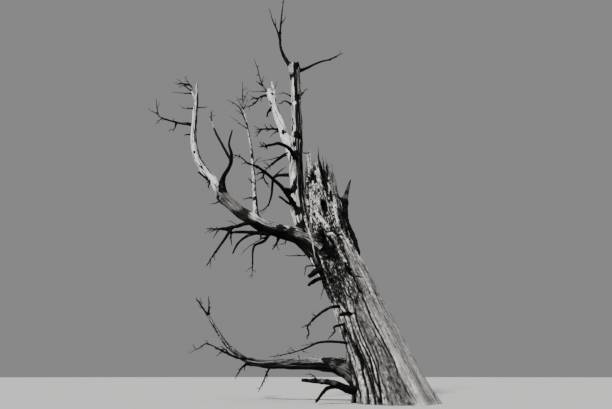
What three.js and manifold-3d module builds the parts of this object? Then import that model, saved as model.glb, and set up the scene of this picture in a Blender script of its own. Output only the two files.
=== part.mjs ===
// A dead tree, whole: a thick leaning trunk with a broken hollow top, its bare broken boughs and their twigs.
// Millimetres, +Z up. The origin is in the middle of the flat cut at ground level, and -Y is the side that
// is looked at, so the trunk leans towards -X.

import * as THREE from 'three';
import { mergeVertices } from 'three/addons/utils/BufferGeometryUtils.js';
import Module from 'manifold-3d';

const wasm = await Module();
wasm.setup();

// Clearance
const LIMB_GAP = 0.5;          // between a limb and what carries it
const TWIG_CLEARANCE = 25;     // between a twig and the surface of any limb it passes

// Trunk: each knee is x, y, z of the middle and the radius there
const TRUNK_LINE = [
  [0, 0, 0, 770],
  [-290, 0, 900, 690],
  [-800, 20, 2250, 590],
  [-1200, 50, 3250, 570],
  [-1470, 90, 4300, 500],
  [-1745, 120, 6600, 300],
];
const TRUNK_SIDES = 56;
const TRUNK_RINGS = 46;
const FLUTES = [                // waves round the trunk, depth as a share of the radius, lean, start
  [5, 0.03, 1 / 900, 1.3],
  [9, 0.018, -1 / 700, 0],
];
const ROOT_HEIGHT = 420;        // how fast the root flare dies away upwards
const ROOT_FLARES = [           // direction round the trunk in degrees and reach at the ground
  [-8, 170],
  [-62, 120],
  [-112, 150],
  [-160, 130],
  [158, 190],
  [100, 160],
  [48, 130],
];
const LIP = [                   // where the outer shell ends: direction in degrees and height of its torn lip
  [-180, 3700], [-150, 3950], [-121, 3930], [-88, 3800], [-61, 3630], [-48, 3450], [-39, 3280],
  [-20, 3000], [20, 3100], [70, 3900], [120, 4200], [150, 3900], [180, 3700],
];
const SHELL_STEP = 45;          // how far the shell stands outside the torn wood
const LIP_SLOPE = 110;          // height over which it steps in
const SLABS = { count: 14, length: 1300, level: 36, sway: 0.6, wave: 700 };   // of torn wood above the lip
const BARK = 24;                // how far the ridged bark stands outside the long bare strip
const BARE_SIDE = -21;          // direction of the strip's middle, in degrees
const BARK_FROM = 52;           // degrees from there at which the bark begins and is full
const BARK_FULL = 74;
const HOLES = [                 // direction, height, half width, half height and depth
  [-118, 3520, 250, 420, 330],
  [-136, 5480, 190, 180, 150],
  [-96, 4580, 110, 200, 130],
  [-76, 5420, 90, 450, 100],
  [-135, 1850, 200, 65, 80],
  [62, 4900, 120, 220, 150],
  [128, 2600, 140, 220, 130],
  [176, 4700, 90, 320, 110],
  [95, 1200, 110, 280, 90],
];
const FURROWS = [               // direction low and high, low and high end, half width and depth
  [-139, -143, -50, 1850, 65, 70],
  [-120, -124, -50, 1500, 50, 45],
  [-155, -160, -50, 750, 50, 50],
  [-77, -80, 150, 3100, 45, 35],
  [66, 60, 300, 3300, 60, 50],
  [112, 104, 100, 2700, 80, 65],
  [150, 160, 0, 3000, 80, 70],
  [172, 186, 200, 2300, 70, 60],
];
const RIM_LOW = 0.912;          // lowest and highest place of the broken rim, as a share of the trunk line
const RIM_HIGH = 0.968;
const CRATER = [[0.74, 0.02], [0.45, 0.075]];   // share of the radius, drop as a share of the trunk line
const CRATER_FLOOR = 0.8;
const RIM_POINTS = 3.5;         // splinters round the rim, in half turns, and where the first is
const RIM_START = 0.8;
const RIM_LEFT = 0.45;          // how much of the rim's height is its slope up to the left
const RIM_TURN = 0.35;
const RIM_REACH = 6;            // how quickly the rings even out below the rim

// Limbs: each knee is x, y, z of the middle and the radius there. A limb starts inside what carries it.
const LIMB_SIDES = 8;
const LIMB_STEPS = 2;           // rings for each span between two knees
const LIMB_RIPPLE = 0.05;       // of the radius, with three ripples round a limb that turn from ring to ring
const RIPPLES = 3;
const RIPPLE_TURN = 2.5;
const TIP_WAVES = 2.2;          // points round a broken end, and where the first is
const TIP_START = 0.6;
const STEM_STEPS = 2;
const TWIG_STEPS = 1;
const LIMBS = [
  {
    name: 'main_stem', cutBy: ['trunk'], sides: 10, broken: 130, wood: 'pale',
    knees: [
      [-1400, 40, 2900, 190], [-1670, 30, 3350, 200], [-1960, 0, 3850, 205], [-2200, -20, 4500, 188],
      [-2280, -50, 5700, 165], [-2280, -100, 7000, 158], [-2320, -150, 8200, 138], [-2370, -200, 9200, 158],
    ],
  },
  {
    name: 'left_bough', cutBy: ['trunk', 'main_stem'], sides: 10, wood: 'pale',
    knees: [
      [-1700, -20, 3450, 215], [-2150, -110, 3780, 190], [-2600, -220, 3920, 180], [-3050, -350, 4000, 165],
      [-3450, -480, 4200, 150], [-3800, -600, 4420, 140], [-4120, -700, 4690, 125],
    ],
  },
  {
    name: 'left_leader', cutBy: ['left_bough'], wood: 'pale',
    knees: [
      [-4070, -690, 4620, 112], [-4390, -740, 5140, 105], [-4640, -760, 5420, 95], [-4830, -790, 5750, 86],
      [-4960, -810, 6250, 76], [-4990, -850, 6850, 64], [-5000, -880, 7450, 50], [-5030, -900, 7990, 20],
    ],
  },
  {
    name: 'top_left_bough', cutBy: ['main_stem'], wood: 'dark',
    knees: [
      [-2370, -190, 8950, 78], [-2580, -260, 9330, 58], [-2690, -300, 9520, 46], [-2800, -350, 9850, 37],
      [-2830, -400, 10350, 32],
    ],
  },
  {
    name: 'top_right_bough', cutBy: ['main_stem'], wood: 'dark',
    knees: [
      [-2330, -190, 9000, 64], [-1970, -20, 9330, 38], [-1590, 160, 9710, 28], [-1250, 300, 9940, 22],
    ],
  },
  {
    name: 'broken_limb', cutBy: ['main_stem'], sides: 10, broken: 150, wood: 'pale',
    knees: [
      [-2290, -20, 5800, 120], [-2450, 200, 6550, 150], [-2660, 390, 7180, 132], [-2850, 560, 7800, 112],
      [-3020, 700, 8380, 95], [-3120, 790, 8780, 116], [-3210, 870, 9100, 98],
    ],
  },
  {
    name: 'pale_stem', cutBy: ['left_bough'], wood: 'pale',
    knees: [
      [-3250, -420, 4100, 82], [-3320, -380, 4590, 56], [-3370, -320, 5050, 46], [-3470, -220, 5900, 37],
      [-3550, -150, 6430, 30], [-3740, -60, 7300, 22],
    ],
  },
  {
    name: 'hook_bough', cutBy: ['left_bough', 'left_leader'], sides: 7, wood: 'dark',
    knees: [
      [-4080, -700, 4680, 108], [-4100, -850, 5080, 60], [-3920, -1000, 5370, 45], [-3870, -1130, 5620, 36],
      [-3930, -1250, 5860, 25], [-3850, -1400, 6150, 15],
    ],
  },
  {
    name: 'hook_fork', cutBy: ['hook_bough'], sides: 7, wood: 'dark',
    knees: [
      [-3880, -1080, 5480, 34], [-4160, -900, 6010, 30], [-4430, -750, 6540, 25], [-4580, -660, 6950, 19],
    ],
  },
  {
    name: 'hanging_bough', cutBy: ['left_bough'], wood: 'dark',
    knees: [
      [-3080, -380, 3980, 62], [-3390, -640, 3990, 50], [-3700, -760, 3860, 40], [-3990, -900, 3750, 30],
    ],
  },
  {
    name: 'hanging_lower', cutBy: ['left_bough', 'hanging_bough'], sides: 7, wood: 'dark',
    knees: [
      [-2950, -340, 3800, 48], [-3340, -530, 3790, 40], [-3620, -700, 3740, 34], [-3780, -790, 3700, 24],
    ],
  },
  {
    name: 'hanging_fork', cutBy: ['hanging_bough', 'hanging_lower'], sides: 7, wood: 'dark',
    knees: [
      [-3790, -800, 3820, 36], [-3930, -920, 3470, 30], [-4070, -1040, 3150, 22],
    ],
  },
  {
    name: 'hanging_middle', cutBy: ['left_bough', 'hanging_bough'], sides: 7, wood: 'dark',
    knees: [
      [-3060, -340, 3880, 46], [-3440, -320, 3790, 36], [-3700, -280, 3600, 26], [-3830, -230, 3350, 18],
    ],
  },
  {
    name: 'hanging_back', cutBy: ['left_bough', 'hanging_middle'], sides: 7, wood: 'dark',
    knees: [
      [-2900, -290, 3900, 44], [-3080, -130, 3700, 34], [-3350, 20, 3590, 26], [-3400, 290, 3220, 17],
    ],
  },
  {
    name: 'diagonal_bough', cutBy: ['main_stem'], wood: 'dark',
    knees: [
      [-2230, -60, 4560, 70], [-2580, -540, 4930, 48], [-2820, -790, 5090, 42], [-3060, -1030, 5210, 36],
      [-3220, -1190, 5260, 26],
    ],
  },
  {
    name: 'level_bough', cutBy: ['main_stem'], sides: 7, wood: 'dark',
    knees: [
      [-2290, -60, 5570, 55], [-2660, 130, 5700, 42], [-2930, 300, 5680, 38], [-3000, 600, 5310, 27],
      [-3100, 800, 5060, 20],
    ],
  },
  {
    name: 'upper_bough', cutBy: ['main_stem'], sides: 7, wood: 'dark',
    knees: [
      [-2280, -80, 5950, 60], [-2430, -430, 6160, 50], [-2710, -700, 6200, 42], [-2950, -910, 6030, 30],
    ],
  },
  {
    name: 'crossing_bough', cutBy: ['broken_limb'], sides: 7, wood: 'dark',
    knees: [
      [-2430, 180, 6400, 50], [-2680, 360, 6440, 40], [-3020, 640, 6320, 30],
    ],
  },
  {
    name: 'horn', cutBy: ['trunk'], broken: 90, wood: 'dark',
    knees: [
      [-880, 220, 2980, 130], [-770, 200, 3700, 105], [-950, 140, 4280, 70], [-985, 100, 4620, 78],
      [-980, 80, 4850, 96], [-930, 50, 5080, 58], [-830, 10, 5400, 20],
    ],
  },
  {
    name: 'knob', cutBy: ['trunk'], broken: 50, wood: 'dark',
    knees: [
      [-1400, -80, 2960, 95], [-1690, -290, 2920, 80], [-1920, -490, 2730, 48],
    ],
  },
  {
    name: 'trunk_branch', cutBy: ['trunk'], sides: 7, wood: 'dark',
    knees: [
      [-960, -200, 2060, 48], [-1380, -500, 2010, 34], [-1600, -620, 1910, 28], [-1860, -780, 1700, 22],
    ],
  },
  {
    name: 'long_branch', cutBy: ['trunk'], sides: 7, wood: 'dark',
    knees: [
      [-720, -120, 1190, 38], [-1260, -380, 1250, 28], [-1710, -610, 1230, 23], [-2040, -790, 1090, 17],
    ],
  },
  {
    name: 'low_bough', cutBy: ['trunk'], sides: 10, wood: 'pale',
    knees: [
      [-480, 40, 430, 260], [-900, 80, 580, 235], [-1180, 140, 730, 190], [-1480, 230, 810, 166],
      [-1950, 340, 825, 145], [-2520, 480, 810, 116], [-3010, 600, 815, 94], [-3400, 700, 870, 76],
    ],
  },
  {
    name: 'low_rise', cutBy: ['low_bough'], wood: 'pale',
    knees: [
      [-3360, 690, 865, 68], [-3660, 775, 1010, 60], [-4070, 880, 1330, 50], [-4370, 990, 1700, 40],
      [-4620, 1070, 2040, 32],
    ],
  },
  {
    name: 'low_stub', cutBy: ['trunk'], broken: 40, sides: 7, wood: 'dark',
    knees: [
      [-620, -120, 280, 90], [-1100, -360, 300, 64], [-1420, -520, 410, 50], [-1780, -690, 450, 38],
      [-2080, -850, 470, 26],
    ],
  },
  {
    name: 'back_bough', cutBy: ['trunk'], broken: 80, wood: 'pale',
    knees: [
      [-1330, 250, 3500, 130], [-1290, 700, 3820, 105], [-1330, 1100, 4080, 80], [-1310, 1480, 4480, 52],
    ],
  },
  {
    name: 'back_stub', cutBy: ['trunk'], broken: 60, sides: 7, wood: 'dark',
    knees: [
      [-650, 300, 1820, 110], [-560, 720, 1950, 84], [-500, 960, 2120, 60],
    ],
  },
];

// Twig masses: one stem of knees as above, with side twigs that grow from it by a seeded rule
const STEM_SIDES = 4;
const TWIG_SIDES = 3;
const TWIG_BENDS = 2;           // straight lengths in one side twig
const TWIG_BEND = 0.32;         // how far each length turns from the last
const TWIG_SPREAD = [35, 70];   // degrees between a side twig and its stem
const TWIG_RADIUS = 0.7;        // a side twig's thickness against the stem where it grows
const TWIG_TAPER = 0.75;        // of that lost on the way to its tip
const TWIG_LIFT = 0.25;         // how strongly a mass's own lift turns each length
const TWIG_START = 0.2;         // stretch of the stem that side twigs grow from
const TWIG_END = 0.92;
const TWIG_SCATTER = 0.6;       // of the space between two side twigs that either may take
const TWIG_LENGTHS = [0.6, 1.2];   // shortest and longest, against the mass's own length
const TWIG_SHORTER = [1.15, 0.5];  // how much longer twigs are at the foot, and what they lose up to the tip
const MASSES = [
  {
    name: 'leader_top_twigs', on: 'left_leader', seed: 3, count: 3, length: 330, reach: 620, lift: 0.3,
    stem: [
      [-5005, -882, 7400, 34], [-5140, -900, 7720, 26], [-5190, -920, 7910, 20], [-5410, -930, 7980, 13],
      [-5600, -950, 7980, 6],
    ],
  },
  {
    name: 'leader_side_twigs', on: 'left_leader', seed: 11, count: 5, length: 340, reach: 820, lift: 0.35,
    stem: [
      [-4980, -830, 6690, 32], [-5390, -880, 6720, 24], [-5690, -940, 6790, 19], [-5890, -990, 6870, 15],
      [-5950, -1050, 7050, 11], [-6000, -1100, 7340, 5],
    ],
  },
  {
    name: 'top_left_twigs', on: 'top_left_bough', seed: 21, count: 2, length: 420, reach: 1450, lift: 0.4,
    stem: [
      [-2830, -400, 10330, 30], [-2810, -280, 11000, 24], [-2790, -100, 11850, 16], [-2720, 80, 12650, 7],
    ],
  },
  {
    name: 'top_fork_twigs', on: 'top_left_bough', seed: 25, count: 1, length: 260, reach: 620, lift: 0.4,
    stem: [
      [-2815, -375, 10060, 26], [-2930, -450, 10450, 22], [-3060, -530, 10760, 16], [-3170, -600, 11150, 7],
    ],
  },
  {
    name: 'top_right_twigs', on: 'top_right_bough', seed: 33, count: 3, length: 260, reach: 560, lift: 0.2,
    stem: [[-1260, 295, 9930, 24], [-1080, 380, 10120, 18], [-800, 500, 10390, 8]],
  },
  {
    name: 'broken_limb_high_twigs', on: 'broken_limb', seed: 41, count: 3, length: 330, reach: 900, lift: 0.3,
    stem: [
      [-3210, 840, 9000, 40], [-3440, 890, 9370, 27], [-3560, 930, 9730, 18], [-3680, 960, 10220, 12],
      [-3810, 1000, 10600, 6],
    ],
  },
  {
    name: 'broken_limb_side_twigs', on: 'broken_limb', seed: 47, count: 4, length: 330, reach: 760,
    lift: -0.2,
    stem: [
      [-3190, 830, 8960, 36], [-3510, 880, 8920, 25], [-3700, 920, 8670, 18], [-4020, 950, 8540, 6],
    ],
  },
  {
    name: 'broken_limb_low_twigs', on: 'broken_limb', seed: 53, count: 4, length: 300, reach: 640, lift: 0,
    stem: [[-2790, 490, 7420, 34], [-3120, 600, 7510, 26], [-3380, 700, 7570, 20], [-3580, 800, 7620, 8]],
  },
  {
    name: 'pale_stem_twigs', on: 'pale_stem', seed: 61, count: 5, length: 380, reach: 1050, lift: 0.5,
    stem: [[-3735, -62, 7290, 20], [-3880, 0, 7920, 16], [-3930, 50, 8350, 12], [-3970, 100, 8880, 6]],
  },
  {
    name: 'pale_stem_side_twigs', on: 'pale_stem', seed: 67, count: 3, length: 260, reach: 640, lift: 0.3,
    stem: [[-3700, -80, 7160, 18], [-3880, -110, 7600, 15], [-4010, -140, 7820, 12], [-4330, -200, 8000, 6]],
  },
  {
    name: 'hook_twigs', on: 'hook_fork', seed: 71, count: 3, length: 200, reach: 360, lift: 0.4,
    stem: [[-4575, -663, 6935, 16], [-4620, -620, 7130, 12], [-4620, -590, 7340, 6]],
  },
  {
    name: 'hanging_twigs', on: 'hanging_bough', seed: 79, count: 4, length: 240, reach: 520, lift: -0.3,
    stem: [[-3975, -895, 3755, 24], [-4140, -960, 3730, 18], [-4330, -1020, 3720, 8]],
  },
  {
    name: 'hanging_fork_twigs', on: 'hanging_fork', seed: 83, count: 3, length: 220, reach: 420, lift: -0.5,
    stem: [[-4065, -1036, 3160, 18], [-4150, -1090, 2990, 13], [-4220, -1120, 2800, 6]],
  },
  {
    name: 'hanging_back_twigs', on: 'hanging_back', seed: 89, count: 3, length: 220, reach: 420, lift: -0.6,
    stem: [[-3398, 280, 3235, 14], [-3400, 370, 3080, 10], [-3430, 410, 2860, 5]],
  },
  {
    name: 'diagonal_twigs', on: 'diagonal_bough', seed: 97, count: 4, length: 260, reach: 560, lift: 0,
    stem: [
      [-3205, -1175, 5255, 24], [-3410, -1370, 5260, 18], [-3590, -1480, 5360, 12], [-3740, -1700, 5310, 6],
    ],
  },
  {
    name: 'diagonal_side_twigs', on: 'diagonal_bough', seed: 101, count: 2, length: 200, reach: 420,
    lift: -0.4,
    stem: [
      [-3050, -1020, 5200, 26], [-3060, -1080, 5020, 18], [-2980, -1140, 4840, 13], [-2890, -1200, 4680, 6],
    ],
  },
  {
    name: 'level_twigs', on: 'level_bough', seed: 107, count: 3, length: 230, reach: 460, lift: -0.3,
    stem: [[-3090, 785, 5075, 17], [-3230, 900, 4990, 13], [-3400, 1000, 4930, 6]],
  },
  {
    name: 'upper_twigs', on: 'upper_bough', seed: 113, count: 3, length: 230, reach: 460, lift: -0.2,
    stem: [[-2935, -900, 6040, 24], [-3080, -1020, 5930, 17], [-3200, -1150, 5840, 7]],
  },
  {
    name: 'crossing_twigs', on: 'crossing_bough', seed: 127, count: 3, length: 240, reach: 480, lift: 0,
    stem: [[-3005, 630, 6325, 24], [-3160, 770, 6260, 17], [-3320, 920, 6200, 8]],
  },
  {
    name: 'trunk_branch_twigs', on: 'trunk_branch', seed: 131, count: 1, length: 220, reach: 460, lift: -0.4,
    stem: [
      [-1850, -775, 1710, 21], [-1980, -880, 1540, 18], [-1960, -990, 1390, 14], [-2000, -1080, 1250, 8],
    ],
  },
  {
    name: 'long_branch_twigs', on: 'long_branch', seed: 137, count: 4, length: 240, reach: 560, lift: 0,
    stem: [[-2025, -780, 1097, 14], [-2290, -930, 1000, 11], [-2520, -1060, 950, 8], [-2760, -1190, 910, 5]],
  },
  {
    name: 'low_rise_twigs', on: 'low_rise', seed: 139, count: 2, length: 260, reach: 500, lift: 0.4,
    stem: [[-4610, 1066, 2025, 26], [-4820, 1060, 2290, 18], [-4970, 1050, 2480, 8]],
  },
  {
    name: 'low_tip_twigs', on: 'low_rise', seed: 149, count: 4, length: 300, reach: 860, lift: 0,
    stem: [
      [-3470, 700, 920, 34], [-3720, 590, 970, 28], [-4050, 460, 1110, 21], [-4400, 330, 1260, 14],
      [-4600, 200, 1130, 9], [-4700, 200, 1250, 5],
    ],
  },
  {
    name: 'low_under_twigs', on: 'low_bough', seed: 151, count: 3, length: 240, reach: 520, lift: -0.2,
    stem: [[-2870, 560, 780, 26], [-2950, 510, 620, 20], [-3050, 440, 360, 12], [-3130, 400, 210, 6]],
  },
  {
    name: 'back_twigs', on: 'back_bough', seed: 157, count: 5, length: 260, reach: 560, lift: 0.3,
    stem: [[-1312, 1290, 4250, 34], [-1450, 1450, 4350, 24], [-1620, 1560, 4520, 16], [-1700, 1620, 4760, 7]],
  },
];

// Materials
const COLOURS = { pale: 0xb9b4aa, dark: 0x4d4944, bark: 0x77726a, twig: 0x5d5852 };
const ROUGHNESS = 0.9;
const woods = {};
for (const [wood, color] of Object.entries(COLOURS)) {
  woods[wood] = new THREE.MeshStandardMaterial({ color, roughness: ROUGHNESS, metalness: 0 });
}

// Curves and solids

const DEGREE = Math.PI / 180;
const TURN = 2 * Math.PI;
const SHARE_STEP = 0.01;        // between the two places that a curve's direction is taken from
const CURVE_END = 1e-9;
const HALVINGS = 30;
const MIDDLES = 12;             // points for each span between two knees

// The point and the radius at a share of the way along knees, on a Catmull-Rom curve
function alongKnees(knees, share) {
  const spans = knees.length - 1;
  const place = Math.min(share * spans, spans - CURVE_END);
  const span = Math.floor(place);
  const t = place - span;
  const before = knees[span - 1] ?? knees[0].map((v, i) => 2 * v - knees[1][i]);
  const after = knees[span + 2] ?? knees[spans].map((v, i) => 2 * v - knees[spans - 1][i]);
  return knees[span].map((p1, i) => {
    const p0 = before[i];
    const p2 = knees[span + 1][i];
    const p3 = after[i];
    return p1 + 0.5 * t * (p2 - p0 + t * (2 * p0 - 5 * p1 + 4 * p2 - p3 + t * (3 * (p1 - p2) + p3 - p0)));
  });
}

// The direction from one share of the way along knees to another
function direction(knees, from, to) {
  const [x, y, z] = alongKnees(knees, from);
  const [farX, farY, farZ] = alongKnees(knees, to);
  return new THREE.Vector3(farX - x, farY - y, farZ - z).normalize();
}

// A closed solid from rings of points that all run the same way round, capped at both ends
function ringSolid(rings, firstMiddle, lastMiddle) {
  const sides = rings[0].length;
  const points = [...rings.flat(), firstMiddle, lastMiddle];
  const first = rings.length * sides;
  const last = first + 1;
  const index = [];
  for (let ring = 0; ring < rings.length - 1; ring++) {
    for (let side = 0; side < sides; side++) {
      const a = ring * sides + side;
      const b = ring * sides + (side + 1) % sides;
      index.push(a, b, b + sides, a, b + sides, a + sides);
    }
  }
  for (let side = 0; side < sides; side++) {
    const next = (side + 1) % sides;
    const top = (rings.length - 1) * sides;
    index.push(first, next, side, last, top + side, top + next);
  }
  const geometry = new THREE.BufferGeometry();
  geometry.setAttribute('position', new THREE.Float32BufferAttribute(points.flatMap((p) => p.toArray()), 3));
  geometry.setIndex(index);
  return geometry;
}

function toManifold(geometry) {
  const merged = mergeVertices(geometry, 1e-3);
  const vertProperties = new Float32Array(merged.attributes.position.array);
  const triVerts = new Uint32Array(merged.index.array);
  return new wasm.Manifold(new wasm.Mesh({ numProp: 3, vertProperties, triVerts }));
}

function toGeometry(manifold) {
  const mesh = manifold.getMesh();
  const geometry = new THREE.BufferGeometry();
  geometry.setAttribute('position', new THREE.BufferAttribute(new Float32Array(mesh.vertProperties), 3));
  geometry.setIndex(new THREE.BufferAttribute(new Uint32Array(mesh.triVerts), 1));
  geometry.computeVertexNormals();
  return geometry;
}

// The largest piece that a cut leaves
function largestPiece(manifold) {
  const pieces = manifold.decompose();
  return pieces.reduce((best, piece) => (piece.volume() > best.volume() ? piece : best));
}

// Limbs

function limbRings(limb, grow) {
  const steps = (limb.knees.length - 1) * (limb.steps ?? LIMB_STEPS);
  const sides = limb.sides ?? LIMB_SIDES;
  const rings = [];
  let across = new THREE.Vector3(0, 1, 0);
  for (let step = 0; step <= steps; step++) {
    const share = step / steps;
    const [x, y, z, radius] = alongKnees(limb.knees, share);
    const along = direction(limb.knees, Math.max(share - SHARE_STEP, 0), Math.min(share + SHARE_STEP, 1));
    across = across.clone().addScaledVector(along, -across.dot(along)).normalize();
    const side = new THREE.Vector3().crossVectors(along, across);
    const ring = [];
    for (let k = 0; k < sides; k++) {
      const angle = (TURN * k) / sides;
      const reach = radius * (1 + LIMB_RIPPLE * Math.sin(RIPPLES * angle + RIPPLE_TURN * step)) + grow;
      const point = new THREE.Vector3(x, y, z);
      point.addScaledVector(across, reach * Math.cos(angle)).addScaledVector(side, reach * Math.sin(angle));
      if (limb.broken && step === steps) {
        point.addScaledVector(along, limb.broken * Math.abs(Math.sin(TIP_WAVES * angle + TIP_START)) + grow);
      }
      ring.push(point);
    }
    rings.push(ring);
  }
  return rings;
}

function limbSolid(limb, grow = 0) {
  const rings = limbRings(limb, grow);
  const start = new THREE.Vector3(...limb.knees[0]);
  const end = new THREE.Vector3(...limb.knees.at(-1));
  if (grow > 0) {
    const along = direction(limb.knees, 1 - SHARE_STEP, 1);
    rings.at(-1).forEach((point) => point.addScaledVector(along, grow));
    end.addScaledVector(along, grow + (limb.broken ?? 0));
  }
  return toManifold(ringSolid(rings, start, end));
}

// Trunk

// The turn from a direction in degrees to an angle, within half a turn either way
function turnFrom(degrees, angle) {
  const turn = angle - degrees * DEGREE;
  return turn - TURN * Math.round(turn / TURN);
}

function easeIn(low, high, value) {
  const t = Math.min(1, Math.max(0, (value - low) / (high - low)));
  return t * t * (3 - 2 * t);
}

// A number from 0 to 1 that jumps about from one whole number to the next
function scattered(n) {
  const far = Math.sin(n * 12.9898) * 43758.5453;
  return far - Math.floor(far);
}

function lipHeight(angle) {
  const degrees = turnFrom(0, angle) / DEGREE;
  const next = Math.max(1, LIP.findIndex(([at]) => at >= degrees));
  const [[low, from], [high, to]] = [LIP[next - 1], LIP[next]];
  return from + ((to - from) * (degrees - low)) / (high - low);
}

// How far out the slab of torn wood at a height and an angle lies
function slabPush(height, angle) {
  const { count, length, level, sway, wave } = SLABS;
  const strip = Math.floor((angle / TURN) * count + sway * Math.sin(height / wave + 2 * angle));
  const own = ((strip % count) + count) % count;
  const part = Math.floor(height / length + count * scattered(own + 1));
  return level * (2 * scattered(own + count * part) - 1);
}

// How far out the trunk's surface is at a height and an angle, for its plain radius there
function trunkRelief(radius, height, angle) {
  const lip = lipHeight(angle);
  const shell = easeIn(-LIP_SLOPE / 2, LIP_SLOPE / 2, lip - height);
  const bark = easeIn(BARK_FROM, BARK_FULL, Math.abs(turnFrom(BARE_SIDE, angle)) / DEGREE);
  let reach = radius + (SHELL_STEP + BARK * bark) * shell - SHELL_STEP / 2;
  reach += (1 - shell) * slabPush(height, angle);
  for (const [waves, depth, lean, start] of FLUTES) {
    reach += radius * depth * Math.sin(waves * angle + lean * height + start);
  }
  for (const [degrees, flare] of ROOT_FLARES) {
    const facing = Math.max(0, Math.cos(angle - degrees * DEGREE));
    reach += flare * facing ** 10 * Math.exp(-height / ROOT_HEIGHT);
  }
  for (const [degrees, middle, halfWidth, halfHeight, depth] of HOLES) {
    const across = (turnFrom(degrees, angle) * radius) / halfWidth;
    const off = across ** 2 + ((height - middle) / halfHeight) ** 2;
    reach -= depth * Math.exp(-(off ** 2));
  }
  let furrow = 0;
  for (const [from, to, low, high, halfWidth, depth] of FURROWS) {
    const share = Math.min(1, Math.max(0, (height - low) / (high - low)));
    const across = (turnFrom(from + (to - from) * share, angle) * radius) / halfWidth;
    furrow = Math.max(furrow, depth * Math.sqrt(Math.sin(Math.PI * share)) * Math.exp(-(across ** 2)));
  }
  return reach - furrow;
}

// Where the broken rim is at an angle, as a share of the trunk line: high on the left, with splinters
function rimShare(angle) {
  const left = 0.5 - 0.5 * Math.cos(angle + RIM_TURN);
  const splinters = Math.abs(Math.sin(RIM_POINTS * angle + RIM_START));
  return RIM_LOW + (RIM_HIGH - RIM_LOW) * (RIM_LEFT * left + (1 - RIM_LEFT) * splinters);
}

// The share of the trunk line at which it has risen to a height
function shareAt(height) {
  let low = 0;
  let high = 1;
  for (let i = 0; i < HALVINGS; i++) {
    const middle = (low + high) / 2;
    if (alongKnees(TRUNK_LINE, middle)[2] < height) {
      low = middle;
    } else {
      high = middle;
    }
  }
  return low;
}

function trunkPoint(share, angle, inward, grow) {
  const [x, y, height, radius] = alongKnees(TRUNK_LINE, share);
  const reach = trunkRelief(radius, height, angle) * inward + grow;
  return new THREE.Vector3(x + reach * Math.cos(angle), y + reach * Math.sin(angle), height);
}

function trunkSolid(grow = 0) {
  const angles = [];
  for (let k = 0; k < TRUNK_SIDES; k++) {
    angles.push((TURN * k) / TRUNK_SIDES);
  }
  const rings = [];
  const [, , ground] = TRUNK_LINE[0];
  const [, , top] = TRUNK_LINE.at(-1);
  for (let step = 0; step <= TRUNK_RINGS; step++) {
    const share = shareAt(ground + ((top - ground) * step) / TRUNK_RINGS);
    rings.push(angles.map((angle) => {
      const place = share * (1 - (1 - rimShare(angle)) * share ** RIM_REACH);
      return trunkPoint(place, angle, 1, grow);
    }));
  }
  const foot = new THREE.Vector3(0, 0, ground);
  if (grow > 0) {
    const [x, y, z] = TRUNK_LINE.at(-1);
    rings.at(-1).forEach((point) => { point.z += grow; });
    return toManifold(ringSolid(rings, foot, new THREE.Vector3(x, y, z)));
  }
  for (const [inward, drop] of CRATER) {
    rings.push(angles.map((angle) => trunkPoint(rimShare(angle) - drop, angle, inward, 0)));
  }
  const [x, y, z] = alongKnees(TRUNK_LINE, CRATER_FLOOR);
  return toManifold(ringSolid(rings, foot, new THREE.Vector3(x, y, z)));
}

// Twig masses

function seeded(seed) {
  let state = seed >>> 0;
  const draw = () => {
    state = (Math.imul(state, 1664525) + 1013904223) >>> 0;
    return state / 4294967296;
  };
  draw();
  return draw;
}

function randomVector(random) {
  return new THREE.Vector3(2 * random() - 1, 2 * random() - 1, 2 * random() - 1);
}

// Points down the middle of the trunk, every limb and every other mass's stem, to keep twigs clear of
function middlesBeside(mass) {
  const stems = MASSES.filter((other) => other !== mass).map((other) => ({ knees: other.stem }));
  return [{ knees: TRUNK_LINE }, ...LIMBS, ...stems].flatMap(({ knees }) => {
    const count = MIDDLES * (knees.length - 1);
    return Array.from({ length: count + 1 }, (_, i) => alongKnees(knees, i / count));
  });
}

function isClear(point, middles) {
  return middles.every(([x, y, z, radius]) => {
    return point.distanceTo(new THREE.Vector3(x, y, z)) > radius + TWIG_CLEARANCE;
  });
}

// A direction that leaves a heading at one of the angles allowed
function sideways(random, heading) {
  const [least, most] = TWIG_SPREAD;
  const spread = (least + (most - least) * random()) * DEGREE;
  const away = new THREE.Vector3().crossVectors(heading, randomVector(random)).normalize();
  return heading.clone().multiplyScalar(Math.cos(spread)).addScaledVector(away, Math.sin(spread));
}

// The knees of one bent side twig
function twigKnees(random, start, heading, length, radius, lift) {
  const knees = [[...start.toArray(), radius]];
  const place = start.clone();
  const way = heading.clone();
  for (let bend = 1; bend <= TWIG_BENDS; bend++) {
    way.addScaledVector(randomVector(random), TWIG_BEND);
    way.z += lift * TWIG_LIFT;
    way.normalize();
    place.addScaledVector(way, length / TWIG_BENDS);
    knees.push([...place.toArray(), radius * (1 - (TWIG_TAPER * bend) / TWIG_BENDS)]);
  }
  return knees;
}

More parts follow.
